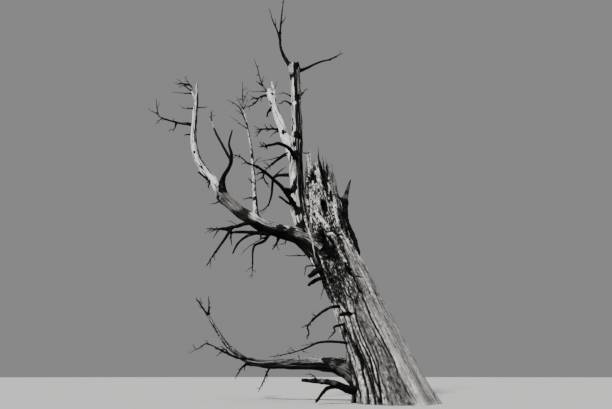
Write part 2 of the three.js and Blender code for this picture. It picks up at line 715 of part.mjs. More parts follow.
// The side twigs of a mass. All of a twig's random numbers are drawn before it is tested, so that one that
// is skipped changes none of the others.
function massTwigs(mass) {
  const random = seeded(mass.seed);
  const [x, y, z] = alongKnees(mass.stem, 0.5);
  const middle = new THREE.Vector3(x, y, z);
  const middles = middlesBeside(mass);
  const [short, long] = TWIG_LENGTHS;
  const [foot, loss] = TWIG_SHORTER;
  const twigs = [];
  for (let i = 0; i < mass.count; i++) {
    const share = TWIG_START + ((TWIG_END - TWIG_START) * (i + TWIG_SCATTER * random())) / mass.count;
    const [px, py, pz, radius] = alongKnees(mass.stem, share);
    const heading = direction(mass.stem, share, share + SHARE_STEP);
    const length = mass.length * (short + (long - short) * random()) * (foot - loss * share);
    const side = sideways(random, heading);
    const start = new THREE.Vector3(px, py, pz);
    const knees = twigKnees(random, start, side, length, radius * TWIG_RADIUS, mass.lift);
    const inside = knees.slice(1).every(([kx, ky, kz]) => {
      const point = new THREE.Vector3(kx, ky, kz);
      return point.distanceTo(middle) < mass.reach && isClear(point, middles);
    });
    if (inside) {
      twigs.push(knees);
    }
  }
  return twigs;
}

function massSolid(mass) {
  const stem = limbSolid({ knees: mass.stem, sides: STEM_SIDES, steps: STEM_STEPS });
  const twigs = massTwigs(mass).map((knees) => limbSolid({ knees, sides: TWIG_SIDES, steps: TWIG_STEPS }));
  return twigs.reduce((whole, twig) => whole.add(twig), stem);
}

// The tree

const tree = new THREE.Group();

function addNode(name, manifold, wood) {
  const mesh = new THREE.Mesh(toGeometry(manifold), woods[wood]);
  mesh.name = name;
  tree.add(mesh);
}

// What each limb is cut by: the solid of its neighbour, larger all over by the gap
const cutters = { trunk: trunkSolid(LIMB_GAP) };
for (const limb of LIMBS) {
  cutters[limb.name] = limbSolid(limb, LIMB_GAP);
}

addNode('trunk', trunkSolid(), 'bark');
for (const limb of LIMBS) {
  const whole = limbSolid(limb);
  const cut = limb.cutBy.reduce((solid, name) => solid.subtract(cutters[name]), whole);
  addNode(limb.name, largestPiece(cut), limb.wood);
}
for (const mass of MASSES) {
  addNode(mass.name, largestPiece(massSolid(mass).subtract(cutters[mass.on])), 'twig');
}

export default tree;
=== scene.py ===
# The looks of a dead tree: bark, torn wood, cracks, knot holes, splinters and twigs. Metres, +Z up, with the
# origin in the middle of the flat cut at ground level. The camera looks from -Y, and the trunk leans to -X.

import math
from itertools import product

import bpy
import numpy as np
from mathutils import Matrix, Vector


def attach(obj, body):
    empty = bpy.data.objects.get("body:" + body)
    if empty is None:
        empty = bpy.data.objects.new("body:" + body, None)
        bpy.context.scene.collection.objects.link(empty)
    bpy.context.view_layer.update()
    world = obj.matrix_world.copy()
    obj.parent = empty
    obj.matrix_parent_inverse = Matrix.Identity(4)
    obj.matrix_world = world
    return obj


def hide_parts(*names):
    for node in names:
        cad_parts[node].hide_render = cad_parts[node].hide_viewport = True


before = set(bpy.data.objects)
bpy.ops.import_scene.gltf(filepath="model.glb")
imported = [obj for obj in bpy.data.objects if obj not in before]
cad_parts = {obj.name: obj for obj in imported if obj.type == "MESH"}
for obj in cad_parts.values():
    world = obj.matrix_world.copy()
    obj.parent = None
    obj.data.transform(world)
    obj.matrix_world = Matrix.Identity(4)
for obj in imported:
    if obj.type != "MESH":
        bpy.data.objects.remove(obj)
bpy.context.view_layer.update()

TURN = 2 * math.pi
MM = 0.001
CM = 0.01

# Camera: a low wide view that looks up at the crown
CAMERA_PLACE = (-2.02, -10.0, 0.55)
CAMERA_UPTURN = 22.8            # degrees above the horizon
LENS = 24.0
PHOTO_SIZE = (612, 409)         # pixels
SENSOR = 36.0
CAMERA_REACH = 1000             # metres that it sees

# The tables below are in millimetres, as in the solids' own source, unless a line says otherwise.
# Trunk: each knee is x, y, z of the middle and the radius there
TRUNK_LINE = [
    (0, 0, 0, 770), (-290, 0, 900, 690), (-800, 20, 2250, 590), (-1200, 50, 3250, 570),
    (-1470, 90, 4300, 500), (-1745, 120, 6600, 300),
]
FLUTES = [(5, 0.03, 1 / 900, 1.3), (9, 0.018, -1 / 700, 0)]   # waves round the trunk, depth, lean, start
ROOT_HEIGHT = 420               # how fast the root flare dies away upwards
ROOT_FLARES = [                 # direction in degrees and reach at the ground
    (-8, 170), (-62, 120), (-112, 150), (-160, 130), (158, 190), (100, 160), (48, 130),
]
# Where the outer shell ends: direction in degrees and height of its torn lip
LIP = [
    (-180, 3700), (-150, 3950), (-121, 3930), (-88, 3800), (-61, 3630), (-48, 3450), (-39, 3280),
    (-20, 3000), (20, 3100), (70, 3900), (120, 4200), (150, 3900), (180, 3700),
]
SHELL_STEP = 45                 # how far the shell stands outside the torn wood
SLAB_COUNT, SLAB_LENGTH, SLAB_LEVEL = 14, 1300, 36   # of torn wood above the lip
SLAB_SWAY, SLAB_WAVE = 0.6, 700
HOLES = [                       # direction, height, half width, half height and depth
    (-118, 3520, 250, 420, 330), (-142, 5500, 210, 180, 150), (-96, 4580, 110, 200, 130),
    (-76, 5420, 90, 450, 100), (-134, 1850, 190, 45, 70), (62, 4900, 120, 220, 150),
    (128, 2600, 140, 220, 130), (176, 4700, 90, 320, 110), (95, 1200, 110, 280, 90),
]
SMALL_HOLES = [
    (-101, 3240, 110, 200, 60), (-150, 3160, 60, 260, 40), (-116, 5330, 70, 100, 70),
    (-166, 5950, 55, 90, 60), (-64, 4900, 45, 200, 60), (-141, 1800, 45, 170, 50),
    (-112, 5440, 60, 100, 60), (-66, 2700, 120, 13, 14), (-108, 5020, 40, 70, 50),
    (-88, 2840, 60, 170, 50), (-140, 2620, 90, 60, 40), (40, 5600, 60, 160, 80),
]
FURROWS = [                     # direction low and high, low and high end, half width and depth
    (-139, -143, -50, 1850, 65, 70), (-120, -124, -50, 1500, 50, 45), (-155, -160, -50, 750, 50, 50),
    (-82, -84, 150, 3100, 20, 35), (66, 60, 300, 3300, 60, 50), (112, 104, 100, 2700, 80, 65),
    (150, 160, 0, 3000, 80, 70), (172, 186, 200, 2300, 70, 60),
]
SMALL_FURROWS = [
    (-24, -30, 500, 2950, 16, 20), (-52, -46, 700, 2500, 9, 10), (-130, -131, 50, 1250, 16, 22),
    (-150, -152, 500, 1800, 18, 26), (-112, -108, 100, 1500, 12, 14), (-90, -91, 900, 1500, 14, 14),
    (-66, -64, 300, 1900, 5, 7), (20, 14, 300, 2000, 12, 14),
    (88, 84, 1300, 3700, 26, 34), (138, 132, 100, 1700, 20, 26), (-102, -118, 3950, 4700, 14, 30),
    (-112, -136, 3950, 4900, 16, 34), (-124, -150, 4000, 5000, 14, 28),
]
# The long bare strip on the right: height, then the directions of its two edges in degrees
BARE_STRIP = [
    (0, -82, 28), (1100, -84, 36), (2200, -88, 42), (2700, -83, 42), (3100, -77, 40), (3600, -75, 38),
]
# Patches of tone on the trunk: direction, height, half width, half height, tone from 0, dark, to 1, pale
# Partly the wood's own tone and partly painted light and shade: pale patches on the left edge under the main
# stem and high on the right side lift places that lie in shadow, and dark ones at the slot high on the front
# paint the shade in it.
TONE_AND_LIGHT_PATCHES = [
    (-126, 5020, 180, 240, 0.5), (-158, 5100, 120, 900, 0.54), (-104, 5750, 130, 320, 0.56),
    (-42, 5460, 130, 520, 0.54), (-80, 5560, 80, 460, 0.03), (-78, 5150, 60, 220, 0.1),
    (-62, 5250, 40, 160, 0.3), (-86, 4250, 150, 190, 0.42), (-27, 4250, 140, 900, 0.04),
    (-170, 5800, 160, 500, 0.62), (-92, 3360, 120, 240, 0.26), (-66, 4420, 110, 330, 0.78),
    (-96, 4230, 170, 170, 0.45), (-46, 4000, 130, 520, 0.08), (-76, 3890, 330, 120, 0.38),
    (-118, 4700, 120, 200, 0.46), (-66, 5850, 60, 300, 0.1), (-150, 4300, 90, 330, 0.56),
    (-167, 4180, 100, 340, 0.08), (-172, 3200, 60, 600, 0.8), (-150, 3500, 80, 500, 0.03),
    (-89, 1250, 100, 620, 0.34), (-84, 2000, 50, 300, 0.3), (-94, 2480, 190, 380, 0.31),
    (-170, 4950, 100, 480, 0.8), (-97, 1900, 220, 230, 0.42), (-30, 2600, 90, 700, 0.54),
    (-40, 1000, 110, 900, 0.6), (-158, 1400, 140, 420, 0.6), (-174, 1450, 70, 480, 0.78),
    (-180, 230, 170, 330, 0.1),
]
LIT_WALLS = [(-107, 3730, 120, 230, 0.36), (-68, 5560, 60, 240, 0.3)]   # inside holes, as above
# Long blades of split wood on the trunk: direction and height of the foot and of the tip, width, tone
# The three darkest blades, at the slot high on the front, carry the slot's painted shade
LONG_BLADES = [
    (-99, 3980, -142, 4720, 110, 0.8), (-64, 4080, -68, 4640, 50, 0.8), (-174, 2960, -167, 3900, 80, 0.74),
    (-128, 4100, -164, 4660, 60, 0.7), (-75, 4850, -84, 5560, 40, 0.1), (-96, 4900, -108, 5500, 45, 0.56),
    (-148, 4900, -158, 5350, 60, 0.7), (-106, 5300, -102, 5900, 50, 0.66), (-158, 5690, -163, 6330, 110, 0.7),
    (-146, 5720, -149, 6240, 80, 0.66), (-172, 5600, -176, 6200, 110, 0.62),
    (-134, 5740, -132, 6350, 60, 0.66), (-90, 5500, -92, 6150, 45, 0.12), (-70, 5500, -72, 6120, 40, 0.1),
    (-52, 3450, -62, 3980, 40, 0.72), (60, 3900, 74, 4700, 70, 0.6), (120, 4250, 104, 5000, 80, 0.66),
    (150, 4000, 160, 4800, 60, 0.5), (10, 3200, 2, 4000, 60, 0.6), (30, 4300, 20, 5200, 60, 0.66),
]
# A bright rib of wood between the left bough's foot and the hollow
RIB = [
    (-2046, -210, 4340), (-2007, -235, 4115), (-1944, -285, 3890), (-1882, -320, 3670), (-1834, -330, 3460),
    (-1786, -300, 3215), (-1762, -250, 3100),
]
RIM_LOW, RIM_HIGH = 0.912, 0.968   # shares of the trunk line between which the torn rim rises to the left
# The hollow top: each row's share of the rim's radius, and how far it is below the rim on the trunk line
CRATER = [(1.0, 0.0), (0.86, 0.004), (0.74, 0.02), (0.6, 0.045), (0.42, 0.085), (0.12, 0.1)]
CRATER_BOTTOM = 0.86            # the middle of its floor, as a share of the trunk line

# Limbs: kind of wood, what each grows from, the length of its broken end, and its knees
LIMB_ROWS = {
    "main_stem": ("pale", ["trunk"], 130, [
        (-1400, 40, 2900, 190), (-1670, 30, 3350, 200), (-1960, 0, 3850, 205), (-2200, -20, 4500, 188),
        (-2280, -50, 5700, 165), (-2280, -100, 7000, 158), (-2320, -150, 8200, 138),
        (-2370, -200, 9200, 158)]),
    "left_bough": ("pale", ["trunk", "main_stem"], 0, [
        (-1700, -20, 3450, 215), (-2150, -110, 3780, 190), (-2600, -220, 3920, 180),
        (-3050, -350, 4000, 165), (-3450, -480, 4200, 150), (-3800, -600, 4420, 140),
        (-4120, -700, 4690, 125)]),
    "left_leader": ("pale", ["left_bough"], 0, [
        (-4070, -690, 4620, 112), (-4390, -740, 5140, 105), (-4640, -760, 5420, 95),
        (-4830, -790, 5750, 86), (-4960, -810, 6250, 76), (-4990, -850, 6850, 64),
        (-5000, -880, 7450, 50), (-5030, -900, 7990, 20)]),
    "top_left_bough": ("dark", ["main_stem"], 0, [
        (-2370, -190, 8950, 78), (-2580, -260, 9330, 58), (-2690, -300, 9520, 46),
        (-2800, -350, 9850, 37), (-2830, -400, 10350, 32)]),
    "top_right_bough": ("dark", ["main_stem"], 0, [
        (-2330, -190, 9000, 64), (-1970, -20, 9330, 38), (-1590, 160, 9710, 28), (-1250, 300, 9940, 22)]),
    "broken_limb": ("pale", ["main_stem"], 150, [
        (-2290, -20, 5800, 120), (-2450, 200, 6550, 150), (-2660, 390, 7180, 132),
        (-2850, 560, 7800, 112), (-3020, 700, 8380, 95), (-3120, 790, 8780, 116), (-3210, 870, 9100, 98)]),
    "pale_stem": ("pale", ["left_bough"], 0, [
        (-3250, -420, 4100, 82), (-3320, -380, 4590, 56), (-3370, -320, 5050, 46),
        (-3470, -220, 5900, 37), (-3550, -150, 6430, 30), (-3740, -60, 7300, 22)]),
    "hook_bough": ("dark", ["left_bough", "left_leader"], 0, [
        (-4080, -700, 4680, 108), (-4100, -850, 5080, 60), (-3920, -1000, 5370, 45),
        (-3870, -1130, 5620, 36), (-3930, -1250, 5860, 25), (-3850, -1400, 6150, 15)]),
    "hook_fork": ("dark", ["hook_bough"], 0, [
        (-3880, -1080, 5480, 34), (-4160, -900, 6010, 30), (-4430, -750, 6540, 25),
        (-4580, -660, 6950, 19)]),
    "hanging_bough": ("dark", ["left_bough"], 0, [
        (-3080, -380, 3980, 62), (-3390, -640, 3990, 50), (-3700, -760, 3860, 40), (-3990, -900, 3750, 30)]),
    "hanging_lower": ("dark", ["left_bough", "hanging_bough"], 0, [
        (-2950, -340, 3800, 48), (-3340, -530, 3790, 40), (-3620, -700, 3740, 34), (-3780, -790, 3700, 24)]),
    "hanging_fork": ("dark", ["hanging_bough", "hanging_lower"], 0, [
        (-3790, -800, 3820, 36), (-3930, -920, 3470, 30), (-4070, -1040, 3150, 22)]),
    "hanging_middle": ("dark", ["left_bough", "hanging_bough"], 0, [
        (-3060, -340, 3880, 46), (-3440, -320, 3790, 36), (-3700, -280, 3600, 26), (-3830, -230, 3350, 18)]),
    "hanging_back": ("dark", ["left_bough", "hanging_middle"], 0, [
        (-2900, -290, 3900, 44), (-3080, -130, 3700, 34), (-3350, 20, 3590, 26), (-3400, 290, 3220, 17)]),
    "diagonal_bough": ("dark", ["main_stem"], 0, [
        (-2230, -60, 4560, 70), (-2580, -540, 4930, 48), (-2820, -790, 5090, 42),
        (-3060, -1030, 5210, 36), (-3220, -1190, 5260, 26)]),
    "level_bough": ("dark", ["main_stem"], 0, [
        (-2290, -60, 5570, 55), (-2660, 130, 5700, 42), (-2930, 300, 5680, 38), (-3000, 600, 5310, 27),
        (-3100, 800, 5060, 20)]),
    "upper_bough": ("dark", ["main_stem"], 0, [
        (-2280, -80, 5950, 60), (-2430, -430, 6160, 50), (-2710, -700, 6200, 42), (-2950, -910, 6030, 30)]),
    "crossing_bough": ("dark", ["broken_limb"], 0, [
        (-2430, 180, 6400, 50), (-2680, 360, 6440, 40), (-3020, 640, 6320, 30)]),
    "horn": ("dark", ["trunk"], 90, [
        (-880, 220, 2980, 130), (-770, 200, 3700, 105), (-950, 140, 4280, 70), (-985, 100, 4620, 78),
        (-980, 80, 4850, 96), (-930, 50, 5080, 58), (-830, 10, 5400, 20)]),
    "knob": ("dark", ["trunk"], 50, [
        (-1400, -80, 2960, 95), (-1690, -290, 2920, 80), (-1920, -490, 2730, 48)]),
    "trunk_branch": ("dark", ["trunk"], 0, [
        (-960, -200, 2060, 48), (-1380, -500, 2010, 34), (-1600, -620, 1910, 28), (-1860, -780, 1700, 22)]),
    "long_branch": ("dark", ["trunk"], 0, [
        (-720, -120, 1190, 38), (-1260, -380, 1250, 28), (-1710, -610, 1230, 23), (-2040, -790, 1090, 17)]),
    "low_bough": ("pale", ["trunk"], 0, [
        (-480, 40, 430, 260), (-900, 80, 580, 235), (-1180, 140, 730, 190), (-1480, 230, 810, 166),
        (-1950, 340, 825, 145), (-2520, 480, 810, 116), (-3010, 600, 815, 94), (-3400, 700, 870, 76)]),
    "low_rise": ("pale", ["low_bough"], 0, [
        (-3360, 690, 865, 68), (-3660, 775, 1010, 60), (-4070, 880, 1330, 50), (-4370, 990, 1700, 40),
        (-4620, 1070, 2040, 32)]),
    "low_stub": ("dark", ["trunk"], 40, [
        (-620, -120, 280, 90), (-1100, -360, 300, 68), (-1420, -520, 410, 60), (-1780, -690, 450, 50),
        (-2080, -850, 470, 34)]),
    "back_bough": ("pale", ["trunk"], 80, [
        (-1330, 250, 3500, 130), (-1290, 700, 3820, 105), (-1330, 1100, 4080, 80), (-1310, 1480, 4480, 52)]),
    "back_stub": ("dark", ["trunk"], 60, [
        (-650, 300, 1820, 110), (-560, 720, 1950, 84), (-500, 960, 2120, 60)]),
}

# How pale the bare wood of a limb is, and how strongly it is stained black
LIMB_LOOKS = {
    "main_stem": (0.8, 0.7), "left_leader": (0.82, 0.25), "broken_limb": (0.88, 0.22),
    "pale_stem": (0.76, 0.6), "left_bough": (0.52, 0.4), "low_bough": (0.45, 0.35), "low_rise": (0.4, 0.3),
    "back_bough": (0.6, 0.4),
}
USUAL_LOOK = (0.7, 0.5)
# Painted shade on the side of a limb away from the light and on its underside: a direction, how far round
# from it the shade starts and is full, how dark
PAINTED_SHADE_SIDES = {
    "main_stem": ((1, -0.2, 0), -0.05, 0.2, 0.95),
    "left_leader": ((0.85, 0, -0.5), 0.35, 0.75, 0.85),
    "pale_stem": ((1, 0, -0.2), 0.2, 0.6, 0.9),
    "broken_limb": ((1, 0.1, 0.1), 0.7, 0.95, 0.8),
    "low_bough": ((0.1, -0.1, -1), 0.08, 0.36, 0.97),
    "left_bough": ((0.3, 0, -1), 0.1, 0.5, 0.95),
}
USUAL_SHADE_SIDE = ((0.25, 0.1, -1), 0.1, 0.6, 0.9)
STRANDS = {"main_stem": 0.5, "low_bough": 0.15}   # the tone of grey strands on such a side
# Knot holes, stains and bare places on limbs: middle, radius, tone and depth
MARKS = {
    "broken_limb": [
        ((-2671, 300, 7201), 110, 0.0, 60), ((-2560, 180, 6830), 90, 0.95, 0),
        ((-2600, 250, 7020), 60, 0.1, 15), ((-3060, 700, 8900), 90, 0.25, 15)],
    "main_stem": [
        ((-2240, -250, 8049), 120, 0.0, 25), ((-2367, -262, 7827), 90, 0.95, 0),
        ((-2260, -240, 6750), 150, 0.0, 20), ((-2300, -200, 6180), 130, 0.02, 20),
        ((-2380, -170, 5103), 150, 0.02, 25), ((-2360, -170, 4820), 110, 0.8, 0),
        ((-2220, -200, 4500), 150, 0.05, 15), ((-2090, -200, 4100), 170, 0.05, 20),
        ((-2260, -330, 9100), 130, 0.02, 15), ((-2400, -200, 5500), 100, 0.9, 0)],
    "left_leader": [
        ((-4894, -870, 5849), 55, 0.05, 20), ((-4348, -841, 5120), 170, 1.0, 0),
        ((-4740, -780, 5340), 120, 0.8, 0), ((-4152, -817, 4800), 170, 0.62, 0)],
    "left_bough": [
        ((-3980, -740, 4600), 220, 0.58, 0), ((-3800, -740, 4440), 240, 0.46, 0),
        ((-3560, -640, 4220), 190, 0.2, 0), ((-3330, -480, 4280), 190, 1.0, 0),
        ((-3120, -420, 4120), 120, 0.6, 0), ((-2667, -380, 3960), 120, 0.1, 10),
        ((-2370, -320, 3900), 150, 0.12, 15), ((-2170, -303, 3850), 170, 0.42, 0),
        ((-2480, -340, 3980), 70, 0.7, 0)],
    "pale_stem": [((-3340, -420, 4760), 70, 0.05, 0), ((-3500, -220, 6100), 90, 0.1, 0)],
    "horn": [((-960, -30, 4980), 120, 0.36, 0), ((-880, -20, 5230), 120, 0.32, 0)],
    "hook_fork": [((-4560, -660, 6850), 260, 0.6, 0)],
    "low_bough": [
        ((-1531, 110, 940), 150, 0.08, 15), ((-1286, 22, 860), 170, 0.12, 15),
        ((-1110, -110, 500), 130, 0.38, 0), ((-1050, -60, 800), 150, 0.25, 0),
        ((-860, -120, 620), 140, 0.42, 0), ((-1220, -50, 680), 150, 0.36, 0),
        ((-1400, 20, 800), 100, 0.32, 0)],
    "low_stub": [
        ((-1450, -560, 470), 120, 0.34, 0), ((-1700, -690, 510), 110, 0.42, 0),
        ((-1930, -800, 500), 70, 0.3, 8)],
}

# Twig masses: what each grows from, its seed, the count of its side twigs, their length, how far they may
# reach from its middle, their lift, and its stem's knees
MASS_ROWS = {
    "leader_top_twigs": ("left_leader", 3, 3, 330, 620, 0.3, [
        (-5005, -882, 7400, 34), (-5140, -900, 7720, 26), (-5190, -920, 7910, 20),
        (-5410, -930, 7980, 13), (-5600, -950, 7980, 6)]),
    "leader_side_twigs": ("left_leader", 11, 5, 340, 820, 0.35, [
        (-4980, -830, 6690, 32), (-5390, -880, 6720, 24), (-5690, -940, 6790, 19),
        (-5890, -990, 6870, 15), (-5950, -1050, 7050, 11), (-6000, -1100, 7340, 5)]),
    "top_left_twigs": ("top_left_bough", 21, 2, 420, 1450, 0.4, [
        (-2830, -400, 10330, 30), (-2810, -280, 11000, 24), (-2790, -100, 11850, 16),
        (-2720, 80, 12650, 7)]),
    "top_fork_twigs": ("top_left_bough", 25, 1, 260, 620, 0.4, [
        (-2815, -375, 10060, 26), (-2930, -450, 10450, 22), (-3060, -530, 10760, 16),
        (-3170, -600, 11150, 7)]),
    "top_right_twigs": ("top_right_bough", 33, 3, 260, 560, 0.2, [
        (-1260, 295, 9930, 24), (-1080, 380, 10120, 18), (-800, 500, 10390, 8)]),
    "broken_limb_high_twigs": ("broken_limb", 41, 3, 330, 900, 0.3, [
        (-3210, 840, 9000, 40), (-3440, 890, 9370, 27), (-3560, 930, 9730, 18), (-3680, 960, 10220, 12),
        (-3810, 1000, 10600, 6)]),
    "broken_limb_side_twigs": ("broken_limb", 47, 4, 330, 760, -0.2, [
        (-3190, 830, 8960, 36), (-3510, 880, 8920, 25), (-3700, 920, 8670, 18), (-4020, 950, 8540, 6)]),
    "broken_limb_low_twigs": ("broken_limb", 53, 4, 300, 640, 0, [
        (-2790, 490, 7420, 34), (-3120, 600, 7510, 26), (-3380, 700, 7570, 20), (-3580, 800, 7620, 8)]),
    "pale_stem_twigs": ("pale_stem", 61, 5, 380, 1050, 0.5, [
        (-3735, -62, 7290, 20), (-3880, 0, 7920, 16), (-3930, 50, 8350, 12), (-3970, 100, 8880, 6)]),
    "pale_stem_side_twigs": ("pale_stem", 67, 3, 260, 640, 0.3, [
        (-3700, -80, 7160, 18), (-3880, -110, 7600, 15), (-4010, -140, 7820, 12), (-4330, -200, 8000, 6)]),
    "hook_twigs": ("hook_fork", 71, 3, 200, 360, 0.4, [
        (-4575, -663, 6935, 16), (-4620, -620, 7130, 12), (-4620, -590, 7340, 6)]),
    "hanging_twigs": ("hanging_bough", 79, 4, 240, 520, -0.3, [
        (-3975, -895, 3755, 24), (-4140, -960, 3730, 18), (-4330, -1020, 3720, 8)]),
    "hanging_fork_twigs": ("hanging_fork", 83, 3, 220, 420, -0.5, [
        (-4065, -1036, 3160, 18), (-4150, -1090, 2990, 13), (-4220, -1120, 2800, 6)]),
    "hanging_back_twigs": ("hanging_back", 89, 3, 220, 420, -0.6, [
        (-3398, 280, 3235, 14), (-3400, 370, 3080, 10), (-3430, 410, 2860, 5)]),
    "diagonal_twigs": ("diagonal_bough", 97, 4, 260, 560, 0, [
        (-3205, -1175, 5255, 24), (-3410, -1370, 5260, 18), (-3590, -1480, 5360, 12),
        (-3740, -1700, 5310, 6)]),
    "diagonal_side_twigs": ("diagonal_bough", 101, 2, 200, 420, -0.4, [
        (-3050, -1020, 5200, 26), (-3060, -1080, 5020, 18), (-2980, -1140, 4840, 13),
        (-2890, -1200, 4680, 6)]),
    "level_twigs": ("level_bough", 107, 3, 230, 460, -0.3, [
        (-3090, 785, 5075, 17), (-3230, 900, 4990, 13), (-3400, 1000, 4930, 6)]),
    "upper_twigs": ("upper_bough", 113, 3, 230, 460, -0.2, [
        (-2935, -900, 6040, 24), (-3080, -1020, 5930, 17), (-3200, -1150, 5840, 7)]),
    "crossing_twigs": ("crossing_bough", 127, 3, 240, 480, 0, [
        (-3005, 630, 6325, 24), (-3160, 770, 6260, 17), (-3320, 920, 6200, 8)]),
    "trunk_branch_twigs": ("trunk_branch", 131, 1, 220, 460, -0.4, [
        (-1850, -775, 1710, 21), (-1980, -880, 1540, 18), (-1960, -990, 1390, 14), (-2000, -1080, 1250, 8)]),
    "long_branch_twigs": ("long_branch", 137, 4, 240, 560, 0, [
        (-2025, -780, 1097, 14), (-2290, -930, 1000, 11), (-2520, -1060, 950, 8), (-2760, -1190, 910, 5)]),
    "low_rise_twigs": ("low_rise", 139, 2, 260, 500, 0.4, [
        (-4610, 1066, 2025, 26), (-4820, 1060, 2290, 18), (-4970, 1050, 2480, 8)]),
    "low_tip_twigs": ("low_rise", 149, 4, 300, 860, 0, [
        (-3470, 700, 920, 34), (-3720, 590, 970, 28), (-4050, 460, 1110, 21), (-4400, 330, 1260, 14),
        (-4600, 200, 1130, 9), (-4700, 200, 1250, 5)]),
    "low_under_twigs": ("low_bough", 151, 3, 240, 520, -0.2, [
        (-2870, 560, 780, 26), (-2950, 510, 620, 20), (-3050, 440, 360, 12), (-3130, 400, 210, 6)]),
    "back_twigs": ("back_bough", 157, 5, 260, 560, 0.3, [
        (-1312, 1290, 4250, 34), (-1450, 1450, 4350, 24), (-1620, 1560, 4520, 16), (-1700, 1620, 4760, 7)]),
}
TWIG_SPREAD = (35, 70)          # degrees between a side twig and its stem
TWIG_RADIUS = 0.7               # a side twig's thickness against the stem where it grows
TWIG_TAPER = 0.75               # of that lost on the way to its tip
TWIG_BENDS = 2                  # straight lengths in one side twig
TWIG_BEND = 0.32                # how far each length turns from the last
TWIG_LIFT = 0.25                # how strongly a mass's own lift turns each length
TWIG_START, TWIG_END = 0.2, 0.92
TWIG_SCATTER = 0.6              # of the space between two side twigs that either may take
TWIG_LENGTHS = (0.6, 1.2)       # shortest and longest, against the mass's own length
TWIG_SHORTER = (1.15, 0.5)      # how much longer twigs are at the foot, and what they lose up to the tip
TWIG_CLEARANCE = 25             # between a twig and the surface of any limb it passes
FINE_CLEARANCE = 6
FINE_LEVELS = [(2, 0.5), (1, 0.5)]   # finer twigs: count on each twig, and length against that twig's
BARE_MASSES = ["top_left_twigs", "top_fork_twigs", "top_right_twigs"]   # with no finer twigs
PALE_STEMS = {"leader_top_twigs": 0.75, "pale_stem_twigs": 0.7, "broken_limb_high_twigs": 0.35}


def seen_at(pixel, back):
    """The place that the camera sees at a pixel of the photo, this far back in Y, in whole centimetres."""
    lens, upturn = LENS / SENSOR * PHOTO_SIZE[0], math.radians(CAMERA_UPTURN)
    across, up = (pixel[0] - PHOTO_SIZE[0] / 2) / lens, (PHOTO_SIZE[1] / 2 - pixel[1]) / lens
    reach = (back - CAMERA_PLACE[1]) / (math.cos(upturn) - up * math.sin(upturn))
    height = CAMERA_PLACE[2] + reach * (math.sin(upturn) + up * math.cos(upturn))
    return tuple(round(round(metres, 2) / CM) for metres in (CAMERA_PLACE[0] + reach * across, back, height))


def seen_routes(readings):
    """Rows with their routes worked out, where the depth changes evenly from the first point to the last."""
    rows = []
    for parent, radius, (first, last), pixels in readings:
        backs = [first + (last - first) * n / (len(pixels) - 1) for n in range(len(pixels))]
        rows.append((parent, radius, [seen_at(pixel, back) for pixel, back in zip(pixels, backs)]))
    return rows


